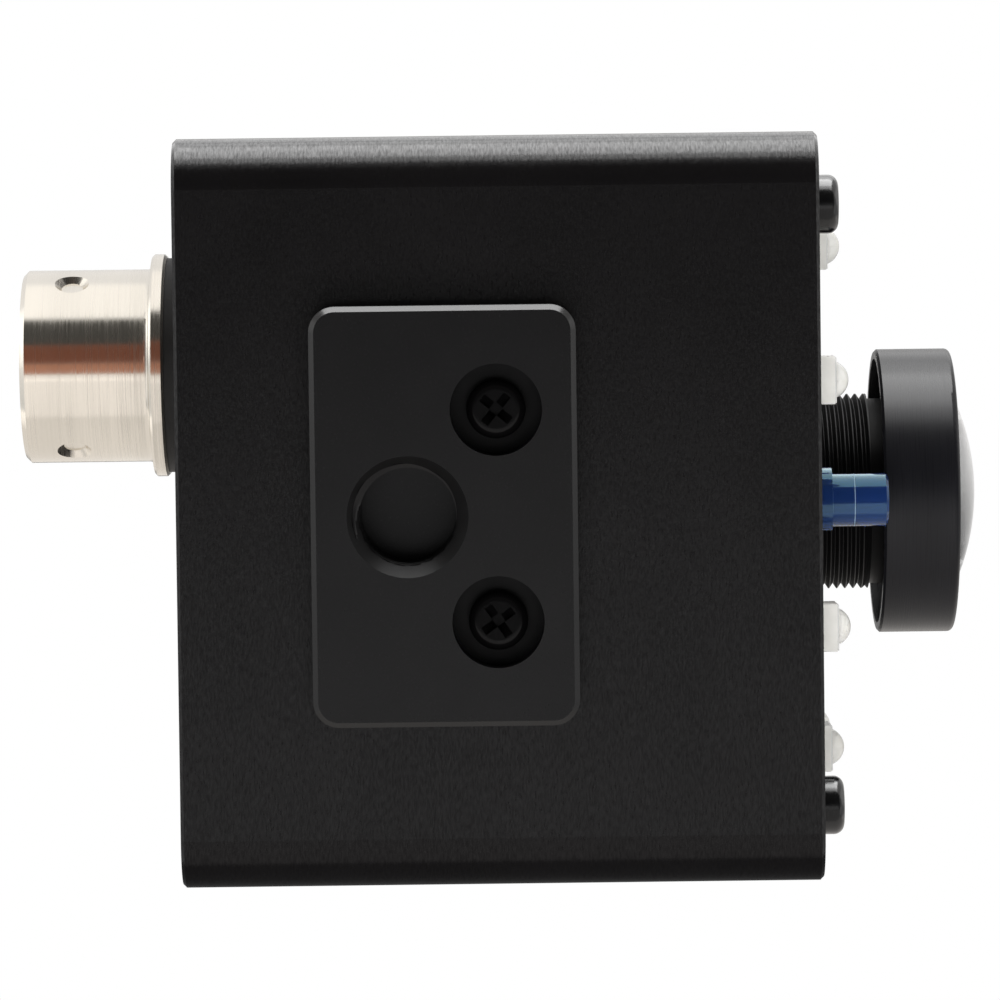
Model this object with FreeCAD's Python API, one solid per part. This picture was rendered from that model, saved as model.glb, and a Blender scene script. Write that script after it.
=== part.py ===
import FreeCAD, Part
import math
import os

from FreeCAD import Vector

# Fisheye USB camera in a square metal housing, in millimetres.
# The origin is on the axis of the tripod thread, at the outer face of the tripod plate.
# +X is the way the lens looks, +Z is up, and the camera stands on the plate.

# Tripod plate
PLATE_THICKNESS = 3.5
PLATE_REAR_X = -5.57
PLATE_FRONT_X = 9.77
PLATE_WIDTH = 24.2
PLATE_CORNER_R = 1.5
PLATE_EDGE_CHAMFER = 0.3
TRIPOD_HOLE_R = 2.8
TRIPOD_MOUTH_R = 3.5
PLATE_SCREW_X = 5.14
PLATE_SCREW_Y = 6.1
COUNTERBORE_R = 2.65
COUNTERBORE_DEPTH = 2.4

# Housing tube
HOUSING_WIDTH = 43.8
HOUSING_REAR_X = -13.5
HOUSING_FRONT_X = 24.0
HOUSING_WALL = 2.0
HOUSING_EDGE_R = 3.0
HOUSING_INNER_R = 1.0
HOUSING_END_CHAMFER = 0.2
SCREW_PORT_R = 2.2
CORNER_SCREW_OFFSET = 17.65
AXIS_Z = PLATE_THICKNESS + HOUSING_WIDTH / 2
INNER_WIDTH = HOUSING_WIDTH - 2 * HOUSING_WALL

# Blind bush in the wall of the housing, behind the tripod hole
BUSH_R = 4.0
BUSH_FLANGE_R = 5.0
BUSH_FLANGE_THICKNESS = 1.4
BUSH_FLOOR = 0.7

# Small screws, all of one thread
SCREW_R = 1.0
SCREW_HOLE_R = 1.05
SCREW_CLEARANCE_R = 1.15
SCREW_TIP = 0.25
PAN_HEAD_R = 1.72
PAN_HEAD_HEIGHT = 1.3
PAN_HEAD_ROUND = 0.6
RECESS_SPAN = 2.1
RECESS_FLOOR_SPAN = 0.6
RECESS_WIDTH = 0.5
RECESS_DEPTH = 1.1
SCREW_FIRST_TURN = 40
SCREW_TURN_STEP = 15
COUNTERSUNK_HEAD_R = 1.85
COUNTERSUNK_HEIGHT = 0.85
SEAT_GAP = 0.02
CORNER_SCREW_LENGTH = 6.0
BOARD_SCREW_LENGTH = 4.6
HOLDER_SCREW_LENGTH = 3.6
PLATE_SCREW_LENGTH = 3.6

# Rear panel
PANEL_THICKNESS = 2.0
PANEL_GAP = 0.25
PANEL_CORNER_R = 0.8
PANEL_WIDTH = INNER_WIDTH - 2 * PANEL_GAP

# Front board with the infrared lamps
LED_BOARD_THICKNESS = 1.6
LED_BOARD_BACK_X = HOUSING_FRONT_X - LED_BOARD_THICKNESS
LENS_HOLE_R = 6.6
LED_OFFSETS = (7.3, 15.15)
LED_BASE_SIDE = 2.82
LED_BASE_HEIGHT = 1.11
LED_DOME_R = 1.16
LED_DOME_HEIGHT = 0.86
RESISTOR_SIZE = (0.5, 2.0, 1.25)
RESISTOR_SHARE = 0.69

# Light sensor under the lens
LIGHT_SENSOR_DROP = 11.5
LIGHT_SENSOR_FLANGE_R = 1.97
LIGHT_SENSOR_FLANGE_HEIGHT = 1.1
LIGHT_SENSOR_FLAT = 1.75
LIGHT_SENSOR_R = 1.585
LIGHT_SENSOR_HEIGHT = 4.47
LIGHT_SENSOR_EDGE = 0.15
LIGHT_SENSOR_LEAD_PITCH = 2.54
LIGHT_SENSOR_LEAD_R = 0.25
LIGHT_SENSOR_LEAD_STUB = 1.0

# Main board
BOARD_THICKNESS = 1.6
BOARD_WIDTH = 32.0
BOARD_CORNER_R = 1.0
BOARD_HOLE_OFFSET = 14.0
BOARD_SETBACK = 14.5
BOARD_FRONT_X = HOUSING_FRONT_X - BOARD_SETBACK
BOARD_BACK_X = BOARD_FRONT_X - BOARD_THICKNESS
STANDOFF_FLATS = 3.5
STANDOFF_HOLE_DEPTH = 5.0

# Lens holder on the main board
HOLDER_BASE_WIDTH = 18.0
HOLDER_BASE_HEIGHT = 3.5
HOLDER_EDGE_R = 1.0
HOLDER_TOWER_R = 7.3
HOLDER_TOP_SETBACK = 2.5
HOLDER_BORE_R = 6.05
HOLDER_EAR_OFFSET = 11.0
HOLDER_EAR_R = 2.3
HOLDER_EAR_HEIGHT = 2.5
HOLDER_CAVITY_WIDTH = 13.4
HOLDER_CAVITY_HEIGHT = 2.5
HOLDER_WINDOW_R = 4.4

# Parts under the lens holder
SENSOR_SIZE = (0.9, 9.6, 9.6)
SENSOR_GLASS_SIZE = (0.4, 8.6, 8.6)
IR_FILTER_SIZE = (0.55, 10.0, 10.0)

# Lens, with x counted from the front of the housing
LENS_THREAD_R = 6.0
LENS_BACK = -8.0
LENS_THREAD_END = 3.9
LENS_BACK_CHAMFER = 0.4
LENS_NECK_R = 5.7
LENS_HEAD_R = 7.05
LENS_HEAD_BACK = 6.3
LENS_HEAD_FRONT = 7.6
LENS_FRONT_BORE_R = 5.2
LENS_REAR_BORE_R = 4.2
LENS_STEP_FRONT = 3.0
LENS_STEP_BACK = 1.0
LENS_STEP_R = 3.2
RING_R = 8.73
RING_BACK = 4.48
RING_FRONT = 9.1
RING_HOLLOW_R = 8.15
RING_HOLLOW_FRONT = 6.0
RING_RECESS_R = 7.1
RING_LIP_BACK = 8.35
RING_LIP_R = 6.25
RING_LIP_FLARE = 0.25
RING_FRONT_ROUND = 0.35
RING_BACK_CHAMFER = 0.15

# Glass of the lens, with x counted from the front of the housing
FRONT_GLASS_APEX = 10.56
FRONT_GLASS_SURFACE_R = 14.0
FRONT_GLASS_R = 6.2
FRONT_GLASS_RIM_R = 6.95
FRONT_GLASS_RIM = 0.7
FRONT_GLASS_HOLLOW_R = 5.4
FRONT_GLASS_HOLLOW_MOUTH_R = 4.3
SECOND_GLASS_R = 5.1
SECOND_GLASS_EDGE = 1.4
SECOND_GLASS_SURFACE_R = 12.0
SECOND_GLASS_CLEAR_R = 4.3
SECOND_GLASS_HOLLOW_R = 3.8
SECOND_GLASS_HOLLOW_MOUTH_R = 3.0
SPACER_INNER_R = 4.45
THIRD_GLASS_R = 4.1
THIRD_GLASS_EDGE = 1.6
THIRD_GLASS_SURFACE_R = 8.0
THIRD_GLASS_CLEAR_R = 3.1
STOP_R = 1.3
STOP_DEPTH = 1.4
STOP_WEB = 0.2
STOP_RIM_R = 3.6
REAR_GLASS_EDGE = 2.2
REAR_GLASS_SURFACE_R = 9.0
REAR_GLASS_CLEAR_R = 3.0
RETAINER_LENGTH = 1.4
RETAINER_INNER_R = 3.1
RETAINER_SLOT_WIDTH = 0.8
RETAINER_SLOT_DEPTH = 0.5
REAR_BORE_GAP = 0.05

# Round socket on the rear panel
SOCKET_Y = -8.3
GASKET_THICKNESS = 1.5
GASKET_R = 6.6
FLANGE_THICKNESS = 0.9
FLANGE_R = 6.85
FLANGE_EDGE = 0.15
SLEEVE_LENGTH = 7.9
SLEEVE_R = 5.925
SLEEVE_BORE_R = 4.75
SLEEVE_EDGE = 0.3
SLEEVE_ROOT_R = 0.35
SOCKET_THREAD_R = 5.5
SOCKET_TAIL_X = -7.5
PANEL_HOLE_R = 5.6
DIMPLE_COUNT = 3
DIMPLE_SETBACK = 3.1
DIMPLE_R = 1.05
DIMPLE_FLOOR_R = 0.65
DIMPLE_DEPTH = 0.4
INSERT_R = 4.7
INSERT_SETBACK = 8.5
PIN_COUNT = 4
PIN_CIRCLE_R = 2.0
PIN_R = 0.5
PIN_HOLE_R = 0.52
PIN_LENGTH = 3.6
CUP_R = 0.75
CUP_LENGTH = 3.0
NUT_FLATS = 14.0
NUT_THICKNESS = 2.0
NUT_BORE_R = 5.55
LOCK_WASHER_R = 7.0
LOCK_WASHER_THICKNESS = 0.5
LOCK_WASHER_TOOTH_COUNT = 12
LOCK_WASHER_TOOTH = 0.6
FLANGE_FRONT_X = HOUSING_REAR_X - GASKET_THICKNESS
FLANGE_BACK_X = FLANGE_FRONT_X - FLANGE_THICKNESS
SLEEVE_END_X = FLANGE_BACK_X - SLEEVE_LENGTH
PANEL_INSIDE_X = HOUSING_REAR_X + PANEL_THICKNESS

# Plugs, headers and wires inside
HEADER_WALL = 0.6
HEADER_FLOOR = 0.8
PLUG_GAP = 0.08
USB_HEADER_SIZE = (3.5, 4.2, 7.6)
USB_PLUG_LENGTH = 4.2
USB_PITCH = 1.25
USB_WIRE_R = 0.45
USB_WIRE_NAMES = ("black", "green", "white", "red")
LED_HEADER_SIZE = (3.0, 3.4, 5.0)
LED_HEADER_Y = 11.8
LED_SOCKET_Y = 14.2
LED_PLUG_LENGTH = 3.6
LED_PITCH = 1.5
LED_WIRE_R = 0.4
LED_WIRE_NAMES = ("black", "red")
WIRE_STRAIGHT = 0.3

# Chips on the back of the main board: size, then place across from the lens axis
PROCESSOR_SIZE = (0.9, 9.0, 9.0)
PROCESSOR_PLACE = (6.5, -1.5)
FLASH_SIZE = (1.5, 4.0, 5.2)
FLASH_PLACE = (7.0, 9.0)
CRYSTAL_SIZE = (0.8, 3.2, 2.5)
CRYSTAL_PLACE = (6.5, -11.0)
CAPACITOR_SIZE = (0.55, 1.6, 0.8)
CAPACITOR_COUNT = 5
CAPACITOR_PITCH = 1.7
CAPACITOR_COLUMN_Y = (0.4, 13.2)

CORNERS = [(side_y, side_z) for side_y in (-1, 1) for side_z in (-1, 1)]
FORWARD = Vector(1, 0, 0)
BACKWARD = Vector(-1, 0, 0)
UP = Vector(0, 0, 1)
TINY = 1e-4


# Shapes used by several pieces
def block(x0, x1, y0, y1, z0, z1):
    return Part.makeBox(x1 - x0, y1 - y0, z1 - z0, Vector(x0, y0, z0))


def block_about(x0, x1, width, height, y=0.0, z=AXIS_Z):
    return block(x0, x1, y - width / 2, y + width / 2, z - height / 2, z + height / 2)


def edges_along(shape, direction):
    lines = [edge for edge in shape.Edges if isinstance(edge.Curve, Part.Line)]
    return [edge for edge in lines if abs(edge.Curve.Direction.dot(direction)) > 1 - TINY]


def circle_edges(shape, x, radius):
    circles = [edge for edge in shape.Edges if isinstance(edge.Curve, Part.Circle)]
    circles = [edge for edge in circles if abs(edge.Curve.Radius - radius) < TINY]
    return [edge for edge in circles if abs(edge.Curve.Center.x - x) < TINY]


def rounded_block(x0, x1, width, height, corner_r, y=0.0, z=AXIS_Z):
    plain = block_about(x0, x1, width, height, y, z)
    return plain.makeFillet(corner_r, edges_along(plain, FORWARD))


def rod(x0, x1, radius, y=0.0, z=AXIS_Z):
    return Part.makeCylinder(radius, x1 - x0, Vector(x0, y, z), FORWARD)


def tube(x0, x1, outer_r, inner_r, y=0.0, z=AXIS_Z):
    return rod(x0, x1, outer_r, y, z).cut(rod(x0, x1, inner_r, y, z))


def ball(x, radius):
    return Part.makeSphere(radius, Vector(x, 0, AXIS_Z))


def turned(profile, y=0.0, z=AXIS_Z):
    """Body turned about an axis along X, from (x, radius) points."""
    points = [Vector(x, y, z + radius) for x, radius in profile]
    section = Part.Face(Part.makePolygon(points + points[:1]))
    return section.revolve(Vector(0, y, z), FORWARD, 360)


def hexagon(x0, x1, flats, y=0.0, z=AXIS_Z):
    corner_r = flats / math.sqrt(3)
    angles = [math.radians(60 * k) for k in range(7)]
    points = [Vector(x0, y + corner_r * math.sin(a), z + corner_r * math.cos(a)) for a in angles]
    return Part.Face(Part.makePolygon(points)).extrude(Vector(x1 - x0, 0, 0))


def corner_places(offset):
    return [(side_y * offset, AXIS_Z + side_z * offset) for side_y, side_z in CORNERS]


def ring_places(radius, count, first_angle):
    angles = [math.radians(first_angle + 360 / count * k) for k in range(count)]
    return [(radius * math.cos(a), AXIS_Z + radius * math.sin(a)) for a in angles]


def seated(shape, seat, direction):
    """Copy of a shape made along +X from the origin, moved to a seat and turned along a direction."""
    placed = shape.copy()
    placed.Placement = FreeCAD.Placement(seat, FreeCAD.Rotation(FORWARD, direction))
    return placed


def cross_recess(top_x, turn):
    """Cross-shaped driver recess that narrows from the top of a screw head."""
    outline = [
        Vector(top_x, -RECESS_SPAN / 2, -RECESS_WIDTH / 2),
        Vector(top_x, RECESS_SPAN / 2, -RECESS_WIDTH / 2),
        Vector(top_x + RECESS_DEPTH, RECESS_FLOOR_SPAN / 2, -RECESS_WIDTH / 2),
        Vector(top_x + RECESS_DEPTH, -RECESS_FLOOR_SPAN / 2, -RECESS_WIDTH / 2),
    ]
    arms = []
    for angle in (turn, turn + 90):
        arm = Part.Face(Part.makePolygon(outline + outline[:1])).extrude(UP * RECESS_WIDTH)
        arm.rotate(Vector(0, 0, 0), FORWARD, angle)
        arms.append(arm)
    return arms[0].fuse(arms[1])


def shank(length):
    return [
        (length - SCREW_TIP, SCREW_R),
        (length, SCREW_R - SCREW_TIP),
        (length, 0),
    ]


def pan_screw(length, turn):
    head = [
        (-PAN_HEAD_HEIGHT, 0),
        (-PAN_HEAD_HEIGHT, PAN_HEAD_R),
        (0, PAN_HEAD_R),
        (0, SCREW_R),
    ]
    screw = turned(head + shank(length), 0, 0)
    screw = screw.makeFillet(PAN_HEAD_ROUND, circle_edges(screw, -PAN_HEAD_HEIGHT, PAN_HEAD_R))
    return screw.cut(cross_recess(-PAN_HEAD_HEIGHT, turn))


def countersunk_screw(length, turn):
    head = [
        (0, 0),
        (0, COUNTERSUNK_HEAD_R),
        (COUNTERSUNK_HEIGHT, SCREW_R),
    ]
    screw = turned(head + shank(length), 0, 0)
    return screw.cut(cross_recess(0, turn))


def screw_set(make_screw, seats, direction, length):
    """Equal screws on their seats, each stopped at another angle."""
    screws = []
    for index, seat in enumerate(seats):
        turn = SCREW_FIRST_TURN + SCREW_TURN_STEP * index
        screws.append(seated(make_screw(length, turn), seat, direction))
    return screws


def bent_wire(start, end, radius):
    """Round wire that leaves and arrives along X, with one S bend of two equal arcs between."""
    way = 1 if end.x > start.x else -1
    bend_start = start + Vector(way * WIRE_STRAIGHT, 0, 0)
    bend_end = end - Vector(way * WIRE_STRAIGHT, 0, 0)
    middle = (bend_start + bend_end) * 0.5
    across = Vector(0, end.y - start.y, end.z - start.z)
    run = abs(bend_end.x - bend_start.x)
    turn = 2 * math.atan(across.Length / run)
    bend_r = run / (2 * math.sin(turn))
    aside = across.normalize() * (bend_r * (1 - math.cos(turn / 2)))
    along = Vector(way * bend_r * math.sin(turn / 2), 0, 0)
    route = Part.Wire([
        Part.LineSegment(start, bend_start).toShape(),
        Part.Arc(bend_start, bend_start + along + aside, middle).toShape(),
        Part.Arc(middle, bend_end - along - aside, bend_end).toShape(),
        Part.LineSegment(bend_end, end).toShape(),
    ])
    section = Part.Wire(Part.makeCircle(radius, start, FORWARD))
    wire = route.makePipeShell([section], True, True)
    expected = math.pi * radius ** 2 * route.Length
    print("wire bend radius %.2f, volume ratio %.4f" % (bend_r, wire.Volume / expected))
    return wire


def header_shell(x0, x1, size, y):
    """Open box on a board, from its foot at x0 to its mouth at x1."""
    way = 1 if x1 > x0 else -1
    shell = block_about(min(x0, x1), max(x0, x1), size[1], size[2], y)
    floor = x0 + way * HEADER_FLOOR
    well_x = sorted((floor, x1))
    return shell.cut(block_about(*well_x, size[1] - 2 * HEADER_WALL, size[2] - 2 * HEADER_WALL, y))


def header_plug(foot_x, way, size, length, y):
    """Plug that stands on the floor of a header's well."""
    floor = foot_x + way * HEADER_FLOOR
    span = sorted((floor, floor + way * length))
    margin = 2 * (HEADER_WALL + PLUG_GAP)
    return block_about(*span, size[1] - margin, size[2] - margin, y)


def chip(size, place, way, foot_x):
    span = sorted((foot_x, foot_x + way * size[0]))
    return block_about(*span, size[1], size[2], place[0], AXIS_Z + place[1])


# Tripod plate and its screws
def tripod_plate():
    plate = block(PLATE_REAR_X, PLATE_FRONT_X, -PLATE_WIDTH / 2, PLATE_WIDTH / 2, 0, PLATE_THICKNESS)
    plate = plate.makeFillet(PLATE_CORNER_R, edges_along(plate, UP))
    rim = [edge for edge in plate.Edges if edge.BoundBox.ZMax < TINY]
    plate = plate.makeChamfer(PLATE_EDGE_CHAMFER, rim)
    plate = plate.cut(Part.makeCylinder(TRIPOD_HOLE_R, PLATE_THICKNESS))
    plate = plate.cut(Part.makeCone(TRIPOD_MOUTH_R, TRIPOD_HOLE_R, TRIPOD_MOUTH_R - TRIPOD_HOLE_R))
    for side in (-1, 1):
        place = Vector(PLATE_SCREW_X, side * PLATE_SCREW_Y, 0)
        plate = plate.cut(Part.makeCylinder(COUNTERBORE_R, COUNTERBORE_DEPTH, place))
        plate = plate.cut(Part.makeCylinder(SCREW_CLEARANCE_R, PLATE_THICKNESS, place))
    return plate


def tripod_plate_screws():
    seats = [Vector(PLATE_SCREW_X, side * PLATE_SCREW_Y, COUNTERBORE_DEPTH) for side in (-1, 1)]
    return screw_set(pan_screw, seats, UP, PLATE_SCREW_LENGTH)


# Bush that carries the tripod thread on through the wall of the housing
def tripod_bush():
    bush = Part.makeCylinder(BUSH_R, HOUSING_WALL, UP * PLATE_THICKNESS)
    seat = UP * (PLATE_THICKNESS + HOUSING_WALL)
    bush = bush.fuse(Part.makeCylinder(BUSH_FLANGE_R, BUSH_FLANGE_THICKNESS, seat))
    bore_depth = HOUSING_WALL + BUSH_FLANGE_THICKNESS - BUSH_FLOOR
    return bush.cut(Part.makeCylinder(TRIPOD_HOLE_R, bore_depth, UP * PLATE_THICKNESS)).removeSplitter()


# Housing tube with a screw port in each inner corner
def screw_port(side_y, side_z):
    inner = CORNER_SCREW_OFFSET - SCREW_PORT_R
    outer = (HOUSING_WIDTH - HOUSING_WALL) / 2
    y_span = sorted((side_y * inner, side_y * outer))
    z_span = sorted((AXIS_Z + side_z * inner, AXIS_Z + side_z * outer))
    port = block(PANEL_INSIDE_X, LED_BOARD_BACK_X, *y_span, *z_span)
    middle = Vector(0, side_y, side_z)
    inner_edge = min(edges_along(port, FORWARD), key=lambda edge: edge.CenterOfMass.dot(middle))
    return port.makeFillet(SCREW_PORT_R, [inner_edge])


def housing_tube():
    shell = rounded_block(HOUSING_REAR_X, HOUSING_FRONT_X, HOUSING_WIDTH, HOUSING_WIDTH, HOUSING_EDGE_R)
    end_edges = [edge for edge in shell.Edges if edge.BoundBox.XLength < TINY]
    shell = shell.makeChamfer(HOUSING_END_CHAMFER, end_edges)
    inside = rounded_block(HOUSING_REAR_X, HOUSING_FRONT_X, INNER_WIDTH, INNER_WIDTH, HOUSING_INNER_R)
    shell = shell.cut(inside)
    shell = shell.fuse([screw_port(*corner) for corner in CORNERS])
    for y, z in corner_places(CORNER_SCREW_OFFSET):
        shell = shell.cut(rod(PANEL_INSIDE_X, LED_BOARD_BACK_X, SCREW_HOLE_R, y, z))
    for side in (-1, 1):
        place = Vector(PLATE_SCREW_X, side * PLATE_SCREW_Y, PLATE_THICKNESS)
        shell = shell.cut(Part.makeCylinder(SCREW_HOLE_R, HOUSING_WALL, place))
    shell = shell.cut(Part.makeCylinder(BUSH_R + SEAT_GAP, HOUSING_WALL, UP * PLATE_THICKNESS))
    return shell.removeSplitter()


# Rear panel and its screws
def rear_panel():
    panel = rounded_block(HOUSING_REAR_X, PANEL_INSIDE_X, PANEL_WIDTH, PANEL_WIDTH, PANEL_CORNER_R)
    panel = panel.cut(rod(HOUSING_REAR_X, PANEL_INSIDE_X, PANEL_HOLE_R, SOCKET_Y))
    countersink = [
        (HOUSING_REAR_X, 0),
        (HOUSING_REAR_X, COUNTERSUNK_HEAD_R + SEAT_GAP),
        (HOUSING_REAR_X + COUNTERSUNK_HEIGHT, SCREW_R + SEAT_GAP),
        (PANEL_INSIDE_X, SCREW_R + SEAT_GAP),
        (PANEL_INSIDE_X, 0),
    ]
    for y, z in corner_places(CORNER_SCREW_OFFSET):
        panel = panel.cut(turned(countersink, y, z))
    return panel


def rear_panel_screws():
    seats = [Vector(HOUSING_REAR_X, y, z) for y, z in corner_places(CORNER_SCREW_OFFSET)]
    return screw_set(countersunk_screw, seats, FORWARD, CORNER_SCREW_LENGTH)


# Front board with lamps, light sensor and corner screws
def led_places(share=1.0):
    """Places of the eight lamps, two to a corner, or at a share of their distance from the lens axis."""
    places = []
    for side_y, side_z in CORNERS:
        for y, z in (LED_OFFSETS, LED_OFFSETS[::-1]):
            places.append((share * side_y * y, AXIS_Z + share * side_z * z))
    return places


def light_sensor_lead_places():
    z = AXIS_Z - LIGHT_SENSOR_DROP
    return [(side * LIGHT_SENSOR_LEAD_PITCH / 2, z) for side in (-1, 1)]


def led_board():
    board = rounded_block(LED_BOARD_BACK_X, HOUSING_FRONT_X, PANEL_WIDTH, PANEL_WIDTH, PANEL_CORNER_R)
    board = board.cut(rod(LED_BOARD_BACK_X, HOUSING_FRONT_X, LENS_HOLE_R))
    for y, z in corner_places(CORNER_SCREW_OFFSET):
        board = board.cut(rod(LED_BOARD_BACK_X, HOUSING_FRONT_X, SCREW_CLEARANCE_R, y, z))
    for y, z in light_sensor_lead_places():
        board = board.cut(rod(LED_BOARD_BACK_X, HOUSING_FRONT_X, LIGHT_SENSOR_LEAD_R + SEAT_GAP, y, z))
    return board


def front_board_screws():
    seats = [Vector(HOUSING_FRONT_X, y, z) for y, z in corner_places(CORNER_SCREW_OFFSET)]
    return screw_set(pan_screw, seats, BACKWARD, CORNER_SCREW_LENGTH)


def ir_led_bases():
    top = HOUSING_FRONT_X + LED_BASE_HEIGHT
    return [block_about(HOUSING_FRONT_X, top, LED_BASE_SIDE, LED_BASE_SIDE, y, z) for y, z in led_places()]


def ir_led_domes():
    foot = HOUSING_FRONT_X + LED_BASE_HEIGHT
    centre_x = foot + LED_DOME_HEIGHT - LED_DOME_R
    domes = []
    for y, z in led_places():
        whole = Part.makeSphere(LED_DOME_R, Vector(centre_x, y, z))
        domes.append(whole.common(rod(foot, foot + 2 * LED_DOME_HEIGHT, 2 * LED_DOME_R, y, z)))
    return domes


def light_sensor():
    foot = HOUSING_FRONT_X
    shoulder = foot + LIGHT_SENSOR_FLANGE_HEIGHT
    top = foot + LIGHT_SENSOR_HEIGHT
    z = AXIS_Z - LIGHT_SENSOR_DROP
    profile = [
        (foot, 0),
        (foot, LIGHT_SENSOR_FLANGE_R),
        (shoulder, LIGHT_SENSOR_FLANGE_R),
        (shoulder, LIGHT_SENSOR_R),
        (top - LIGHT_SENSOR_EDGE, LIGHT_SENSOR_R),
        (top, LIGHT_SENSOR_R - LIGHT_SENSOR_EDGE),
        (top, 0),
    ]
    width = 2 * LIGHT_SENSOR_FLANGE_R
    beyond_flat = block_about(foot, shoulder, width, width, LIGHT_SENSOR_FLAT + width / 2, z)
    return turned(profile, 0, z).cut(beyond_flat)


def light_sensor_leads():
    tail = LED_BOARD_BACK_X - LIGHT_SENSOR_LEAD_STUB
    return [rod(tail, HOUSING_FRONT_X, LIGHT_SENSOR_LEAD_R, y, z) for y, z in light_sensor_lead_places()]


def led_board_resistors():
    places = led_places(RESISTOR_SHARE)
    return [chip(RESISTOR_SIZE, (y, z - AXIS_Z), -1, LED_BOARD_BACK_X) for y, z in places]


# Main board, its standoffs and chips
def board_standoffs():
    posts = []
    for y, z in corner_places(BOARD_HOLE_OFFSET):
        post = hexagon(BOARD_FRONT_X, LED_BOARD_BACK_X, STANDOFF_FLATS, y, z)
        hole = rod(BOARD_FRONT_X, BOARD_FRONT_X + STANDOFF_HOLE_DEPTH, SCREW_HOLE_R, y, z)
        posts.append(post.cut(hole))
    return posts


def holder_screw_places():
    return [(0, AXIS_Z + side * HOLDER_EAR_OFFSET) for side in (-1, 1)]


def main_board():
    board = rounded_block(BOARD_BACK_X, BOARD_FRONT_X, BOARD_WIDTH, BOARD_WIDTH, BOARD_CORNER_R)
    for y, z in corner_places(BOARD_HOLE_OFFSET) + holder_screw_places():
        board = board.cut(rod(BOARD_BACK_X, BOARD_FRONT_X, SCREW_CLEARANCE_R, y, z))
    return board


def main_board_screws():
    seats = [Vector(BOARD_BACK_X, y, z) for y, z in corner_places(BOARD_HOLE_OFFSET)]
    return screw_set(pan_screw, seats, FORWARD, BOARD_SCREW_LENGTH)


def chip_capacitors():
    pieces = []
    first_z = PROCESSOR_PLACE[1] - (CAPACITOR_COUNT - 1) / 2 * CAPACITOR_PITCH
    for y in CAPACITOR_COLUMN_Y:
        for k in range(CAPACITOR_COUNT):
            place = (y, first_z + k * CAPACITOR_PITCH)
            pieces.append(chip(CAPACITOR_SIZE, place, -1, BOARD_BACK_X))
    return pieces


# Lens holder with the sensor and the filter under it
def lens_holder():
    foot = BOARD_FRONT_X
    shoulder = foot + HOLDER_BASE_HEIGHT
    top = HOUSING_FRONT_X - HOLDER_TOP_SETBACK
    holder = rounded_block(foot, shoulder, HOLDER_BASE_WIDTH, HOLDER_BASE_WIDTH, HOLDER_EDGE_R)
    for y, z in holder_screw_places():
        ear_top = foot + HOLDER_EAR_HEIGHT
        web_z = sorted((AXIS_Z, z))
        holder = holder.fuse(rod(foot, ear_top, HOLDER_EAR_R, y, z))
        holder = holder.fuse(block(foot, ear_top, -HOLDER_EAR_R, HOLDER_EAR_R, *web_z))
    holder = holder.fuse(rod(shoulder, top, HOLDER_TOWER_R))
    ceiling = foot + HOLDER_CAVITY_HEIGHT
    holder = holder.cut(block_about(foot, ceiling, HOLDER_CAVITY_WIDTH, HOLDER_CAVITY_WIDTH))
    holder = holder.cut(rod(ceiling, shoulder, HOLDER_WINDOW_R))
    holder = holder.cut(rod(shoulder, top, HOLDER_BORE_R))
    for y, z in holder_screw_places():
        holder = holder.cut(rod(foot, foot + HOLDER_EAR_HEIGHT, SCREW_HOLE_R, y, z))
    return holder.removeSplitter()


def lens_holder_screws():
    seats = [Vector(BOARD_BACK_X, y, z) for y, z in holder_screw_places()]
    return screw_set(pan_screw, seats, FORWARD, HOLDER_SCREW_LENGTH)


def image_sensor():
    return chip(SENSOR_SIZE, (0, 0), 1, BOARD_FRONT_X)


def sensor_cover_glass():
    return chip(SENSOR_GLASS_SIZE, (0, 0), 1, BOARD_FRONT_X + SENSOR_SIZE[0])


def ir_filter():
    return chip(IR_FILTER_SIZE, (0, 0), -1, BOARD_FRONT_X + HOLDER_CAVITY_HEIGHT)


# Lens: threaded barrel, hood ring, glass, spacer, stop and retainer
def lens_x(offset):
    return HOUSING_FRONT_X + offset


def lens_barrel():
    return turned([
        (lens_x(LENS_BACK), LENS_REAR_BORE_R),
        (lens_x(LENS_BACK), LENS_THREAD_R - LENS_BACK_CHAMFER),
        (lens_x(LENS_BACK + LENS_BACK_CHAMFER), LENS_THREAD_R),
        (lens_x(LENS_THREAD_END), LENS_THREAD_R),
        (lens_x(LENS_THREAD_END), LENS_NECK_R),
        (lens_x(LENS_HEAD_BACK), LENS_NECK_R),
        (lens_x(LENS_HEAD_BACK), LENS_HEAD_R),
        (lens_x(LENS_HEAD_FRONT), LENS_HEAD_R),
        (lens_x(LENS_HEAD_FRONT), LENS_FRONT_BORE_R),
        (lens_x(LENS_STEP_FRONT), LENS_FRONT_BORE_R),
        (lens_x(LENS_STEP_FRONT), LENS_STEP_R),
        (lens_x(LENS_STEP_BACK), LENS_STEP_R),
        (lens_x(LENS_STEP_BACK), LENS_REAR_BORE_R),
    ])


def lens_front_ring():
    ring = turned([
        (lens_x(RING_HOLLOW_FRONT), RING_RECESS_R),
        (lens_x(RING_HOLLOW_FRONT), RING_HOLLOW_R),
        (lens_x(RING_BACK), RING_HOLLOW_R),
        (lens_x(RING_BACK), RING_R - RING_BACK_CHAMFER),
        (lens_x(RING_BACK + RING_BACK_CHAMFER), RING_R),
        (lens_x(RING_FRONT), RING_R),
        (lens_x(RING_FRONT), RING_LIP_R + RING_LIP_FLARE),
        (lens_x(RING_LIP_BACK), RING_LIP_R),
        (lens_x(RING_LIP_BACK), RING_RECESS_R),
    ])
    return ring.makeFillet(RING_FRONT_ROUND, circle_edges(ring, lens_x(RING_FRONT), RING_R))


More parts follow.
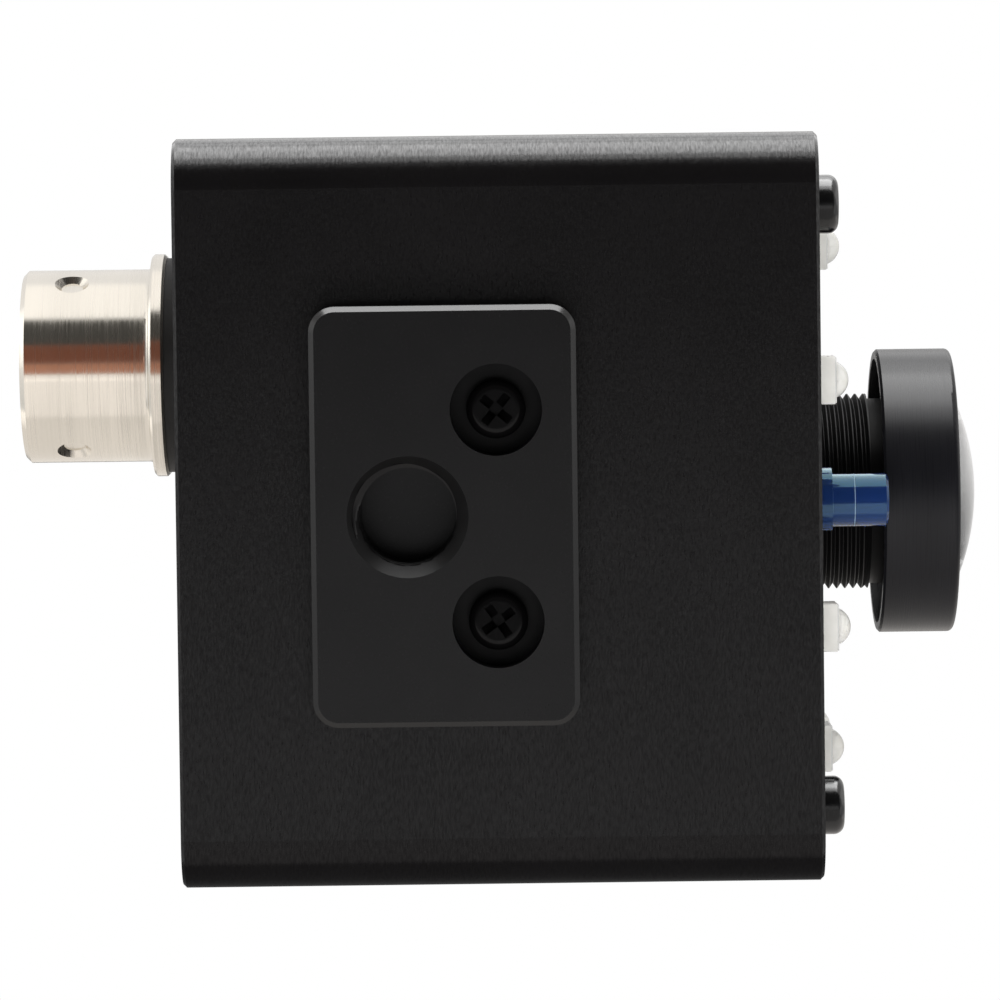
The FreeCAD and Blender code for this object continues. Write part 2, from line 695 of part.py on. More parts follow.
def bulge(foot, clear_r, surface_r, way):
    """Cap of a ball that stands on a flat ring at x = foot and looks along way."""
    centre = foot - way * math.sqrt(surface_r ** 2 - clear_r ** 2)
    span = sorted((foot, centre + way * 2 * surface_r))
    return ball(centre, surface_r).common(rod(*span, clear_r))


def hollow(mouth, mouth_r, surface_r):
    """Ball whose front part is the hollow in the back of a glass with its mouth at x = mouth."""
    return ball(mouth - math.sqrt(surface_r ** 2 - mouth_r ** 2), surface_r)


def lens_front_glass():
    back = lens_x(LENS_HEAD_FRONT)
    centre = lens_x(FRONT_GLASS_APEX) - FRONT_GLASS_SURFACE_R
    dome = ball(centre, FRONT_GLASS_SURFACE_R)
    dome = dome.common(rod(back, lens_x(FRONT_GLASS_APEX) + 1, FRONT_GLASS_R))
    glass = dome.fuse(rod(back, back + FRONT_GLASS_RIM, FRONT_GLASS_RIM_R))
    glass = glass.cut(hollow(back, FRONT_GLASS_HOLLOW_MOUTH_R, FRONT_GLASS_HOLLOW_R))
    return glass.removeSplitter()


def lens_second_glass():
    back = lens_x(LENS_STEP_FRONT)
    front = back + SECOND_GLASS_EDGE
    glass = rod(back, front, SECOND_GLASS_R)
    glass = glass.fuse(bulge(front, SECOND_GLASS_CLEAR_R, SECOND_GLASS_SURFACE_R, 1))
    return glass.cut(hollow(back, SECOND_GLASS_HOLLOW_MOUTH_R, SECOND_GLASS_HOLLOW_R))


def lens_spacer():
    back = lens_x(LENS_STEP_FRONT + SECOND_GLASS_EDGE)
    return tube(back, lens_x(LENS_HEAD_FRONT), SECOND_GLASS_R, SPACER_INNER_R)


def third_glass_back():
    return lens_x(LENS_STEP_BACK) - THIRD_GLASS_EDGE


def lens_third_glass():
    front = lens_x(LENS_STEP_BACK)
    back = third_glass_back()
    glass = rod(back, front, THIRD_GLASS_R)
    glass = glass.fuse(bulge(front, THIRD_GLASS_CLEAR_R, THIRD_GLASS_SURFACE_R, 1))
    return glass.fuse(bulge(back, THIRD_GLASS_CLEAR_R, THIRD_GLASS_SURFACE_R, -1))


def stop_back():
    return third_glass_back() - STOP_DEPTH


def lens_aperture_stop():
    rim_r = LENS_REAR_BORE_R - REAR_BORE_GAP
    return turned([
        (third_glass_back(), STOP_RIM_R),
        (third_glass_back(), rim_r),
        (stop_back(), rim_r),
        (stop_back(), STOP_R),
        (stop_back() + STOP_WEB, STOP_R),
        (stop_back() + STOP_WEB, STOP_RIM_R),
    ])


def rear_glass_back():
    return stop_back() - REAR_GLASS_EDGE


def lens_rear_glass():
    glass = rod(rear_glass_back(), stop_back(), THIRD_GLASS_R)
    return glass.fuse(bulge(rear_glass_back(), REAR_GLASS_CLEAR_R, REAR_GLASS_SURFACE_R, -1))


def lens_rear_retainer():
    front = rear_glass_back()
    back = front - RETAINER_LENGTH
    rim_r = LENS_REAR_BORE_R - REAR_BORE_GAP
    slot = block_about(back, back + RETAINER_SLOT_DEPTH, 2 * rim_r, RETAINER_SLOT_WIDTH)
    return tube(back, front, rim_r, RETAINER_INNER_R).cut(slot)


# Round socket: shell, insert, pins, gasket, washer and nut
def connector_dimple(angle):
    """Tapered recess in the sleeve, drilled towards the sleeve's axis."""
    outward = Vector(0, math.sin(angle), -math.cos(angle))
    mouth = Vector(SLEEVE_END_X + DIMPLE_SETBACK, SOCKET_Y, AXIS_Z) + outward * SLEEVE_R
    overshoot = DIMPLE_DEPTH
    slope = (DIMPLE_R - DIMPLE_FLOOR_R) / DIMPLE_DEPTH
    floor = mouth - outward * DIMPLE_DEPTH
    outer_r = DIMPLE_R + slope * overshoot
    return Part.makeCone(DIMPLE_FLOOR_R, outer_r, DIMPLE_DEPTH + overshoot, floor, outward)


def connector_shell():
    shell = turned([
        (SLEEVE_END_X, SLEEVE_BORE_R),
        (SLEEVE_END_X, SLEEVE_R - SLEEVE_EDGE),
        (SLEEVE_END_X + SLEEVE_EDGE, SLEEVE_R),
        (FLANGE_BACK_X, SLEEVE_R),
        (FLANGE_BACK_X, FLANGE_R - FLANGE_EDGE),
        (FLANGE_BACK_X + FLANGE_EDGE, FLANGE_R),
        (FLANGE_FRONT_X - FLANGE_EDGE, FLANGE_R),
        (FLANGE_FRONT_X, FLANGE_R - FLANGE_EDGE),
        (FLANGE_FRONT_X, SOCKET_THREAD_R),
        (SOCKET_TAIL_X, SOCKET_THREAD_R),
        (SOCKET_TAIL_X, SLEEVE_BORE_R),
    ], SOCKET_Y)
    shell = shell.makeFillet(SLEEVE_ROOT_R, circle_edges(shell, FLANGE_BACK_X, SLEEVE_R))
    for k in range(DIMPLE_COUNT):
        shell = shell.cut(connector_dimple(math.pi + 2 * math.pi / DIMPLE_COUNT * k))
    return shell


def pin_places():
    return [(SOCKET_Y + y, z) for y, z in ring_places(PIN_CIRCLE_R, PIN_COUNT, 45)]


def insert_face_x():
    return SLEEVE_END_X + INSERT_SETBACK


def connector_insert():
    insert = rod(insert_face_x(), SOCKET_TAIL_X, INSERT_R, SOCKET_Y)
    for y, z in pin_places():
        insert = insert.cut(rod(insert_face_x(), SOCKET_TAIL_X, PIN_HOLE_R, y, z))
    return insert


def connector_pins():
    tip = insert_face_x() - PIN_LENGTH
    profile = [
        (tip, 0),
        (tip, PIN_R / 2),
        (tip + PIN_R / 2, PIN_R),
        (SOCKET_TAIL_X, PIN_R),
        (SOCKET_TAIL_X, CUP_R),
        (SOCKET_TAIL_X + CUP_LENGTH, CUP_R),
        (SOCKET_TAIL_X + CUP_LENGTH, 0),
    ]
    return [turned(profile, y, z) for y, z in pin_places()]


def connector_gasket():
    return tube(FLANGE_FRONT_X, HOUSING_REAR_X, GASKET_R, PANEL_HOLE_R, SOCKET_Y)


def connector_lock_washer():
    front = PANEL_INSIDE_X + LOCK_WASHER_THICKNESS
    washer = tube(PANEL_INSIDE_X, front, LOCK_WASHER_R, PANEL_HOLE_R, SOCKET_Y)
    for k in range(LOCK_WASHER_TOOTH_COUNT):
        notch = block_about(PANEL_INSIDE_X, front, 2 * LOCK_WASHER_TOOTH, LOCK_WASHER_TOOTH,
                            SOCKET_Y + PANEL_HOLE_R)
        notch.rotate(Vector(0, SOCKET_Y, AXIS_Z), FORWARD, 360 / LOCK_WASHER_TOOTH_COUNT * k)
        washer = washer.cut(notch)
    return washer


def connector_nut():
    back = PANEL_INSIDE_X + LOCK_WASHER_THICKNESS
    front = back + NUT_THICKNESS
    nut = hexagon(back, front, NUT_FLATS, SOCKET_Y)
    return nut.cut(rod(back, front, NUT_BORE_R, SOCKET_Y))


# Wiring between the boards and the socket
def usb_header():
    return header_shell(BOARD_BACK_X, BOARD_BACK_X - USB_HEADER_SIZE[0], USB_HEADER_SIZE, SOCKET_Y)


def usb_plug():
    return header_plug(BOARD_BACK_X, -1, USB_HEADER_SIZE, USB_PLUG_LENGTH, SOCKET_Y)


def usb_wire(index):
    start_x = BOARD_BACK_X - HEADER_FLOOR - USB_PLUG_LENGTH
    start_z = AXIS_Z + (index - (PIN_COUNT - 1) / 2) * USB_PITCH
    pins_from_below = sorted(pin_places(), key=lambda place: place[1])
    pin_y, pin_z = sorted(pins_from_below[:2] if index < 2 else pins_from_below[2:])[index % 2]
    start = Vector(start_x, SOCKET_Y, start_z)
    return bent_wire(start, Vector(SOCKET_TAIL_X + CUP_LENGTH, pin_y, pin_z), USB_WIRE_R)


def led_header():
    return header_shell(BOARD_FRONT_X, BOARD_FRONT_X + LED_HEADER_SIZE[0], LED_HEADER_SIZE, LED_HEADER_Y)


def led_board_socket():
    mouth = LED_BOARD_BACK_X - LED_HEADER_SIZE[0]
    return header_shell(LED_BOARD_BACK_X, mouth, LED_HEADER_SIZE, LED_SOCKET_Y)


def led_wire(index):
    start_x = BOARD_FRONT_X + HEADER_FLOOR + LED_PLUG_LENGTH
    end_x = LED_BOARD_BACK_X - HEADER_FLOOR - LED_PLUG_LENGTH
    z = AXIS_Z + (index - 0.5) * LED_PITCH
    return bent_wire(Vector(start_x, LED_HEADER_Y, z), Vector(end_x, LED_SOCKET_Y, z), LED_WIRE_R)


def export(node, pieces):
    shape = Part.makeCompound(pieces) if isinstance(pieces, list) else pieces
    for solid in shape.Solids:
        assert solid.isValid() and solid.Volume > 0, node
    shape.exportStep("parts/%s.step" % node)


os.makedirs("parts", exist_ok=True)

export("tripod_plate", tripod_plate())
export("tripod_plate_screws", tripod_plate_screws())
export("tripod_bush", tripod_bush())
export("housing_tube", housing_tube())
export("rear_panel", rear_panel())
export("rear_panel_screws", rear_panel_screws())

export("led_board", led_board())
export("front_board_screws", front_board_screws())
export("ir_led_bases", ir_led_bases())
export("ir_led_domes", ir_led_domes())
export("light_sensor", light_sensor())
export("light_sensor_leads", light_sensor_leads())
export("led_board_resistors", led_board_resistors())

export("board_standoffs", board_standoffs())
export("main_board", main_board())
export("main_board_screws", main_board_screws())
export("image_processor", chip(PROCESSOR_SIZE, PROCESSOR_PLACE, -1, BOARD_BACK_X))
export("flash_memory_chip", chip(FLASH_SIZE, FLASH_PLACE, -1, BOARD_BACK_X))
export("crystal_oscillator", chip(CRYSTAL_SIZE, CRYSTAL_PLACE, -1, BOARD_BACK_X))
export("chip_capacitors", chip_capacitors())

export("lens_holder", lens_holder())
export("lens_holder_screws", lens_holder_screws())
export("image_sensor", image_sensor())
export("sensor_cover_glass", sensor_cover_glass())
export("ir_filter", ir_filter())

export("lens_barrel", lens_barrel())
export("lens_front_ring", lens_front_ring())
export("lens_front_glass", lens_front_glass())
export("lens_second_glass", lens_second_glass())
export("lens_spacer", lens_spacer())
export("lens_third_glass", lens_third_glass())
export("lens_aperture_stop", lens_aperture_stop())
export("lens_rear_glass", lens_rear_glass())
export("lens_rear_retainer", lens_rear_retainer())

export("connector_shell", connector_shell())
export("connector_insert", connector_insert())
export("connector_pins", connector_pins())
export("connector_gasket", connector_gasket())
export("connector_lock_washer", connector_lock_washer())
export("connector_nut", connector_nut())

export("usb_header", usb_header())
export("usb_plug", usb_plug())
for wire_index, wire_colour in enumerate(USB_WIRE_NAMES):
    export("usb_wire_" + wire_colour, usb_wire(wire_index))
export("led_header", led_header())
export("led_plug", header_plug(BOARD_FRONT_X, 1, LED_HEADER_SIZE, LED_PLUG_LENGTH, LED_HEADER_Y))
export("led_board_socket", led_board_socket())
export("led_board_plug", header_plug(LED_BOARD_BACK_X, -1, LED_HEADER_SIZE, LED_PLUG_LENGTH, LED_SOCKET_Y))
for wire_index, wire_colour in enumerate(LED_WIRE_NAMES):
    export("led_wire_" + wire_colour, led_wire(wire_index))
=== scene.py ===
import math
from collections import namedtuple

import bmesh
import bpy
from mathutils import Matrix, Vector


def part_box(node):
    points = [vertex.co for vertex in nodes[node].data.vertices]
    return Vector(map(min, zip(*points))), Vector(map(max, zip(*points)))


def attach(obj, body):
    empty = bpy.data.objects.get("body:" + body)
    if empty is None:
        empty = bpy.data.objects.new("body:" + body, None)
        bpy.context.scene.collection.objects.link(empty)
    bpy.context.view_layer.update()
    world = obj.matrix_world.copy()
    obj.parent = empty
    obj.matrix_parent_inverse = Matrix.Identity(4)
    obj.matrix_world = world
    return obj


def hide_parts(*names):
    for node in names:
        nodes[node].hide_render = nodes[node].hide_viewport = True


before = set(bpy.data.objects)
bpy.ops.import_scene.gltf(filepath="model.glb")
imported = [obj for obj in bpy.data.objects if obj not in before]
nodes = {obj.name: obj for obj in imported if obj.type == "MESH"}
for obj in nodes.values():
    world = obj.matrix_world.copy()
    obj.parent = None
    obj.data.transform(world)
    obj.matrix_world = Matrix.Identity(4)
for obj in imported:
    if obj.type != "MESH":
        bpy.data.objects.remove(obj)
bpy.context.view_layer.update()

# Lengths are in metres. +X is the way the lens looks, +Z is up, and the camera stands on its plate at z = 0.
MM = 0.001


def middle(node, axis):
    """Middle of a node's box along an axis, to a hundredth of a millimetre."""
    low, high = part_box(node)
    return round((low[axis] + high[axis]) / 2, 5)


AXIS_Z = middle("lens_front_ring", 2)
FRONT_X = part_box("led_board")[1][0]

# Words for the sockets of the surface shader
SOCKETS = {
    "metal": "Metallic",
    "roughness": "Roughness",
    "ior": "IOR",
    "specular": "Specular IOR Level",
    "specular_tint": "Specular Tint",
    "stretch": "Anisotropic",
    "stretch_turn": "Anisotropic Rotation",
    "clear": "Transmission Weight",
    "coat": "Coat Weight",
    "soft": "Subsurface Weight",
    "soft_depth": "Subsurface Scale",
    "soft_spread": "Subsurface Radius",
    "film": "Thin Film Thickness",
    "film_ior": "Thin Film IOR",
}

# The range that most of a soft noise lies in
NOISE_LOW = 0.3
NOISE_HIGH = 0.7


class Finish:
    """A material whose surface shader is fed by textures laid out in metres."""

    def __init__(self, name, **values):
        self.material = bpy.data.materials.new(name)
        self.material.use_nodes = True
        self.nodes = self.material.node_tree.nodes
        self.links = self.material.node_tree.links
        self.surface = self.nodes["Principled BSDF"]
        self.place = self.nodes.new("ShaderNodeTexCoord").outputs["Object"]
        self.normal = None
        for word, value in values.items():
            self.surface.inputs[SOCKETS[word]].default_value = value

    def noise(self, size, stretch=(1, 1, 1), detail=3.0):
        """Soft noise with grains of that size, made longer along each axis by stretch."""
        mapping = self.nodes.new("ShaderNodeMapping")
        mapping.inputs["Scale"].default_value = [1 / (size * times) for times in stretch]
        self.links.new(self.place, mapping.inputs["Vector"])
        noise = self.nodes.new("ShaderNodeTexNoise")
        noise.inputs["Scale"].default_value = 1.0
        noise.inputs["Detail"].default_value = detail
        self.links.new(mapping.outputs["Vector"], noise.inputs["Vector"])
        return noise.outputs["Fac"]

    def waves(self, length, direction):
        """Parallel ridges across an axis, with that length from ridge to ridge."""
        wave = self.nodes.new("ShaderNodeTexWave")
        wave.bands_direction = direction
        wave.inputs["Scale"].default_value = math.pi / (10 * length)
        self.links.new(self.place, wave.inputs["Vector"])
        return wave.outputs["Fac"]

    def colours(self, field, dark, light):
        """The surface goes from a dark to a light colour as the field rises."""
        ramp = self.nodes.new("ShaderNodeValToRGB")
        ramp.color_ramp.elements[0].position = NOISE_LOW
        ramp.color_ramp.elements[1].position = NOISE_HIGH
        ramp.color_ramp.elements[0].color = (*dark, 1)
        ramp.color_ramp.elements[1].color = (*light, 1)
        self.links.new(field, ramp.inputs["Fac"])
        self.links.new(ramp.outputs["Color"], self.surface.inputs["Base Color"])

    def spread(self, field, word, low, high):
        """One value of the surface goes from low to high as the field rises."""
        spread = self.nodes.new("ShaderNodeMapRange")
        spread.inputs["From Min"].default_value = NOISE_LOW
        spread.inputs["From Max"].default_value = NOISE_HIGH
        spread.inputs["To Min"].default_value = low
        spread.inputs["To Max"].default_value = high
        self.links.new(field, spread.inputs["Value"])
        self.links.new(spread.outputs["Result"], self.surface.inputs[SOCKETS[word]])

    def relief(self, field, depth):
        """The surface stands out by that depth as the field rises."""
        bump = self.nodes.new("ShaderNodeBump")
        bump.inputs["Strength"].default_value = 1.0
        bump.inputs["Distance"].default_value = depth
        self.links.new(field, bump.inputs["Height"])
        if self.normal:
            self.links.new(self.normal, bump.inputs["Normal"])
        self.normal = bump.outputs["Normal"]
        self.links.new(self.normal, self.surface.inputs["Normal"])

    def lay_across(self):
        """Gloss stretches along the X axis, across the turning marks."""
        tangent = self.nodes.new("ShaderNodeTangent")
        tangent.direction_type = "RADIAL"
        tangent.axis = "X"
        self.links.new(tangent.outputs["Tangent"], self.surface.inputs["Tangent"])


def shades(colour, stray):
    """A darker and a lighter shade of a colour, which stray from it by a share."""
    dark = tuple(part * (1 - stray) for part in colour)
    light = tuple(min(1.0, part * (1 + stray)) for part in colour)
    return dark, light


# In the kinds of finish below, grain is the size of the marks, depth is how deep they are, stray is how far
# the colour strays, and the roughness goes from low to high.


def plain_finish(name, colour, grain, depth, stray=0.15, low=0.3, high=0.45, **values):
    """A moulded, painted or plated surface with a fine even grain."""
    finish = Finish(name, **values)
    field = finish.noise(grain, detail=4)
    finish.colours(finish.noise(grain * 12, detail=2), *shades(colour, stray))
    finish.spread(field, "roughness", low, high)
    finish.relief(field, depth)
    return finish


def brushed_finish(name, colour, grain, stretch, depth, stray=0.12, low=0.24, high=0.34, **values):
    """A metal surface with fine marks that run one way."""
    finish = Finish(name, **values)
    marks = finish.noise(grain, stretch, detail=4)
    finish.colours(finish.noise(grain * 60, detail=2), *shades(colour, stray))
    finish.spread(marks, "roughness", low, high)
    finish.relief(marks, depth)
    return finish


def turned_finish(name, colour, grain, depth, stray, low, high, **values):
    """A metal surface turned on a lathe about the X axis."""
    finish = Finish(name, **values)
    rings = finish.noise(grain, (1, 90, 90), detail=3)
    finish.colours(finish.noise(grain * 40, (1, 4, 4), detail=2), *shades(colour, stray))
    finish.spread(rings, "roughness", low, high)
    finish.relief(rings, depth)
    finish.lay_across()
    return finish


def board_finish(name, colour):
    """A circuit board: solder mask over woven glass cloth."""
    cloth_step = 0.45 * MM
    cloth_depth = 0.0035 * MM
    finish = Finish(name, specular=0.5)
    finish.colours(finish.noise(2.5 * MM, detail=3), *shades(colour, 0.2))
    finish.spread(finish.noise(0.15 * MM), "roughness", 0.28, 0.4)
    finish.relief(finish.waves(cloth_step, "Y"), cloth_depth)
    finish.relief(finish.waves(cloth_step, "Z"), cloth_depth)
    finish.relief(finish.noise(0.12 * MM), cloth_depth)
    return finish


def clear_finish(name, colour, ior, clear=1.0, depth=0.0, **values):
    """Glass or cast resin, with a faint unevenness of colour and, where it has a depth, of surface."""
    grain = 0.4 * MM
    finish = Finish(name, clear=clear, ior=ior, **values)
    finish.colours(finish.noise(grain * 6, detail=2), *shades(colour, 0.03))
    if depth:
        finish.relief(finish.noise(grain), depth)
    return finish


# Black metal parts
BLACK = (0.0042, 0.0038, 0.0040)
HOUSING_GRAIN = 0.09 * MM
housing_black = brushed_finish(
    "housing_black", BLACK, grain=HOUSING_GRAIN, stretch=(1, 3, 3), depth=0.0090 * MM, low=0.14, high=0.21)
gloss_streaks = housing_black.noise(HOUSING_GRAIN, stretch=(1, 5, 5), detail=2)
housing_black.spread(gloss_streaks, "specular", low=0.15, high=0.33)
plate_black = brushed_finish(
    "plate_black", (0.0030, 0.0028, 0.0030), grain=0.06 * MM, stretch=(1, 2.5, 1), depth=0.0006 * MM,
    low=0.22, high=0.28, specular=0.32)
# A darker, duller copy of the plate's finish: painted shade in its counterbores and the mouth of its hole
recess_painted_shade = plain_finish(
    "recess_painted_shade", (0.0028, 0.0027, 0.0028), grain=0.08 * MM, depth=0.002 * MM, stray=0.2,
    low=0.34, high=0.46, specular=0.13)
# A darker, duller copy of the screws' finish for the plate's screws: painted shade in the counterbores
recess_screw_painted_shade = plain_finish(
    "recess_screw_painted_shade", (0.0017, 0.0016, 0.0017), grain=0.12 * MM, depth=0.0010 * MM, stray=0.2,
    low=0.16, high=0.26, specular=0.28)
panel_black = brushed_finish(
    "panel_black", BLACK, grain=0.07 * MM, stretch=(1, 1, 9), depth=0.0014 * MM,
    low=0.24, high=0.32, specular=0.25)
screw_black = plain_finish(
    "screw_black", (0.0024, 0.0024, 0.0027), grain=0.12 * MM, depth=0.0010 * MM, stray=0.2,
    low=0.14, high=0.24, specular=0.5)

# Lens
lens_black = turned_finish(
    "lens_black", (0.0064, 0.0064, 0.0078), grain=0.05 * MM, depth=0.00015 * MM, stray=0.12,
    low=0.26, high=0.31, specular=0.174)
barrel_black = turned_finish(
    "barrel_black", (0.0036, 0.0035, 0.0037), grain=0.06 * MM, depth=0.0010 * MM, stray=0.15,
    low=0.36, high=0.48, specular=0.3)
# A darker, duller copy of the barrel's finish: painted shade on the neck under the lens ring
neck_painted_shade = turned_finish(
    "neck_painted_shade", (0.0030, 0.0029, 0.0031), grain=0.06 * MM, depth=0.0010 * MM, stray=0.15,
    low=0.36, high=0.48, specular=0.13)
inner_black = turned_finish(
    "inner_black", (0.006, 0.006, 0.0065), grain=0.08 * MM, depth=0.002 * MM, stray=0.15,
    low=0.45, high=0.6, specular=0.4)
lens_glass = clear_finish("lens_glass", (0.985, 0.985, 0.985), ior=1.75, roughness=0.012, coat=1.0)
inner_glass = clear_finish(
    "inner_glass", (0.96, 0.985, 0.975), ior=1.65, roughness=0.01, film=420.0, film_ior=1.38)
filter_glass = clear_finish(
    "filter_glass", (0.75, 0.34, 0.38), ior=1.52, roughness=0.02, film=500.0, film_ior=1.8)

# Lamps and light sensor
lamp_base = plain_finish(
    "lamp_base", (0.80, 0.79, 0.75), grain=0.08 * MM, depth=0.002 * MM, stray=0.04, low=0.32, high=0.45,
    specular=0.3, soft=0.4, soft_depth=0.5 * MM, soft_spread=(1, 1, 1))
lamp_dome = clear_finish(
    "lamp_dome", (0.93, 0.905, 0.84), ior=1.45, clear=0.1, depth=0.002 * MM, roughness=0.14,
    specular=0.2, soft=1.0, soft_depth=0.6 * MM, soft_spread=(1, 1, 1))
lamp_layer = clear_finish(
    "lamp_layer", (0.95, 0.945, 0.92), ior=1.45, clear=0.3, depth=0.001 * MM, roughness=0.15,
    specular=0.3, soft=0.5, soft_depth=0.5 * MM, soft_spread=(1, 1, 1))
sensor_epoxy = clear_finish(
    "sensor_epoxy", (0.009, 0.029, 0.130), ior=1.5, clear=0.3, depth=0.0006 * MM, roughness=0.07,
    specular=0.28, specular_tint=(0.55, 0.92, 1.0, 1.0))
# Pale blue for the sensor's mould seams: painted highlights
sensor_seam_painted_highlight = plain_finish(
    "sensor_seam_painted_highlight", (0.42, 0.58, 0.72), grain=0.05 * MM, depth=0.001 * MM, stray=0.1, low=0.2, high=0.3,
    specular=0.3)

# Bare and plated metal
nickel = turned_finish(
    "nickel", (0.74, 0.70, 0.63), grain=0.08 * MM, depth=0.0006 * MM, stray=0.05, low=0.17, high=0.30,
    metal=1.0, stretch=0.9, stretch_turn=0.25)
screw_steel = plain_finish(
    "screw_steel", (0.56, 0.56, 0.55), grain=0.10 * MM, depth=0.0015 * MM, stray=0.1, low=0.22, high=0.34,
    metal=1.0)
tin = plain_finish(
    "tin", (0.66, 0.66, 0.64), grain=0.10 * MM, depth=0.002 * MM, stray=0.08, low=0.2, high=0.35, metal=1.0)
gold = plain_finish(
    "gold", (0.86, 0.60, 0.24), grain=0.10 * MM, depth=0.0015 * MM, stray=0.06, low=0.18, high=0.3, metal=1.0)
brass = turned_finish(
    "brass", (0.72, 0.50, 0.20), grain=0.07 * MM, depth=0.001 * MM, stray=0.06, low=0.24, high=0.36, metal=1.0)
crystal_can = brushed_finish(
    "crystal_can", (0.62, 0.62, 0.61), grain=0.06 * MM, stretch=(1, 12, 1), depth=0.001 * MM, metal=1.0)

# Boards, chips, plastic and rubber
front_board_black = board_finish("front_board_black", (0.008, 0.0085, 0.009))
main_board_green = board_finish("main_board_green", (0.012, 0.085, 0.034))
resistor = plain_finish(
    "resistor", (0.012, 0.012, 0.013), grain=0.08 * MM, depth=0.003 * MM, stray=0.2, low=0.3, high=0.45)
chip_black = plain_finish(
    "chip_black", (0.014, 0.014, 0.015), grain=0.06 * MM, depth=0.005 * MM, stray=0.15, low=0.5, high=0.65)
ceramic = plain_finish(
    "ceramic", (0.36, 0.24, 0.13), grain=0.08 * MM, depth=0.003 * MM, stray=0.12, low=0.4, high=0.55)
moulded_black = plain_finish(
    "moulded_black", (0.012, 0.012, 0.0125), grain=0.07 * MM, depth=0.004 * MM, stray=0.15, low=0.4, high=0.52)
header_cream = plain_finish(
    "header_cream", (0.72, 0.68, 0.57), grain=0.09 * MM, depth=0.003 * MM, stray=0.05, low=0.38, high=0.5)
rubber = plain_finish(
    "rubber", (0.012, 0.0112, 0.0108), grain=0.09 * MM, depth=0.004 * MM, stray=0.2, low=0.5, high=0.65,
    specular=0.4)
wire_colours = {
    "black": (0.012, 0.012, 0.012),
    "green": (0.02, 0.22, 0.055),
    "white": (0.74, 0.74, 0.71),
    "red": (0.42, 0.014, 0.014),
}

node_finishes = {
    "tripod_plate": plate_black,
    "tripod_bush": plate_black,
    # The plate's screws take the painted shade of the counterbores
    "tripod_plate_screws": recess_screw_painted_shade,
    "housing_tube": housing_black,
    "rear_panel": panel_black,
    "rear_panel_screws": screw_black,
    "led_board": front_board_black,
    "front_board_screws": screw_black,
    "ir_led_bases": lamp_base,
    "ir_led_domes": lamp_dome,
    "light_sensor": sensor_epoxy,
    "light_sensor_leads": tin,
    "led_board_resistors": resistor,
    "board_standoffs": brass,
    "main_board": main_board_green,
    "main_board_screws": screw_steel,
    "image_processor": chip_black,
    "flash_memory_chip": chip_black,
    "crystal_oscillator": crystal_can,
    "chip_capacitors": ceramic,
    "lens_holder": moulded_black,
    "lens_holder_screws": screw_steel,
    "image_sensor": chip_black,
    "sensor_cover_glass": inner_glass,
    "ir_filter": filter_glass,
    "lens_barrel": barrel_black,
    "lens_front_ring": lens_black,
    "lens_front_glass": lens_glass,
    "lens_second_glass": inner_glass,
    "lens_spacer": inner_black,
    "lens_third_glass": inner_glass,
    "lens_aperture_stop": inner_black,
    "lens_rear_glass": inner_glass,
    "lens_rear_retainer": inner_black,
    "connector_shell": nickel,
    "connector_insert": moulded_black,
    "connector_pins": gold,
    "connector_gasket": rubber,
    "connector_lock_washer": tin,
    "connector_nut": nickel,
    "usb_header": header_cream,
    "usb_plug": header_cream,
    "led_header": header_cream,
    "led_plug": header_cream,
    "led_board_socket": header_cream,
    "led_board_plug": header_cream,
}
for word, colour in wire_colours.items():
    wire_finish = plain_finish(
        "wire_" + word, colour, grain=0.15 * MM, depth=0.004 * MM, stray=0.1, low=0.35, high=0.5)
    for name in ("usb_wire_" + word, "led_wire_" + word):
        if name in nodes:
            node_finishes[name] = wire_finish


def paint(piece, finish):
    """Gives a piece one finish all over."""
    piece.data.materials.clear()
    piece.data.materials.append(finish.material)


for name, finish in node_finishes.items():
    paint(nodes[name], finish)


def add_piece(name, mesh, finish, body):
    """A new piece of the camera that moves with a body."""
    piece = bpy.data.objects.new(name, mesh)
    bpy.context.collection.objects.link(piece)
    paint(piece, finish)
    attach(piece, body)
    return piece


# Edges that turn by more than this stay crisp
CRISP_ANGLE = math.radians(35)


def smooth(mesh):
    """Smooth shading, with sharp edges kept crisp."""
    if "custom_normal" in mesh.attributes:
        mesh.attributes.remove(mesh.attributes["custom_normal"])
    mesh.shade_smooth()
    mesh.set_sharp_from_angle(angle=CRISP_ANGLE)


# Threads, which the solids have as plain walls. The turns give the share of the depth that is cut at a share
# of a pitch: along the crest, down a flank, along the root and up a flank. A pitch has a row of points at
# each corner of its turns, and at each of rows_each even steps.
Thread = namedtuple("Thread", "pitch depth steps rows_each inside turns")
LENS_THREAD = Thread(
    pitch=0.5 * MM, depth=0.307 * MM, steps=120, rows_each=1, inside=False,
    turns=((0.0, 0.0), (0.12, 0.0), (0.53, 1.0), (0.59, 1.0), (1.0, 0.0)))
TRIPOD_THREAD = Thread(
    pitch=1.27 * MM, depth=0.375 * MM, steps=96, rows_each=20, inside=True,
    turns=((0.0, 0.0), (0.535, 0.0), (0.705, 1.0), (0.83, 1.0), (1.0, 0.0)))
WALL_MARGIN = 0.02 * MM
END_MARGIN = 0.001 * MM
SAME_PLACE = 0.0001 * MM
SAME_ROW = 0.002 * MM


def thread_cut(turns, share):
    """Depth of cut at a share of a pitch, from 0 on the crest to 1 at the root."""
    for (low, low_cut), (high, high_cut) in zip(turns, turns[1:]):
        if low <= share <= high:
            return low_cut + (high_cut - low_cut) * (share - low) / (high - low)


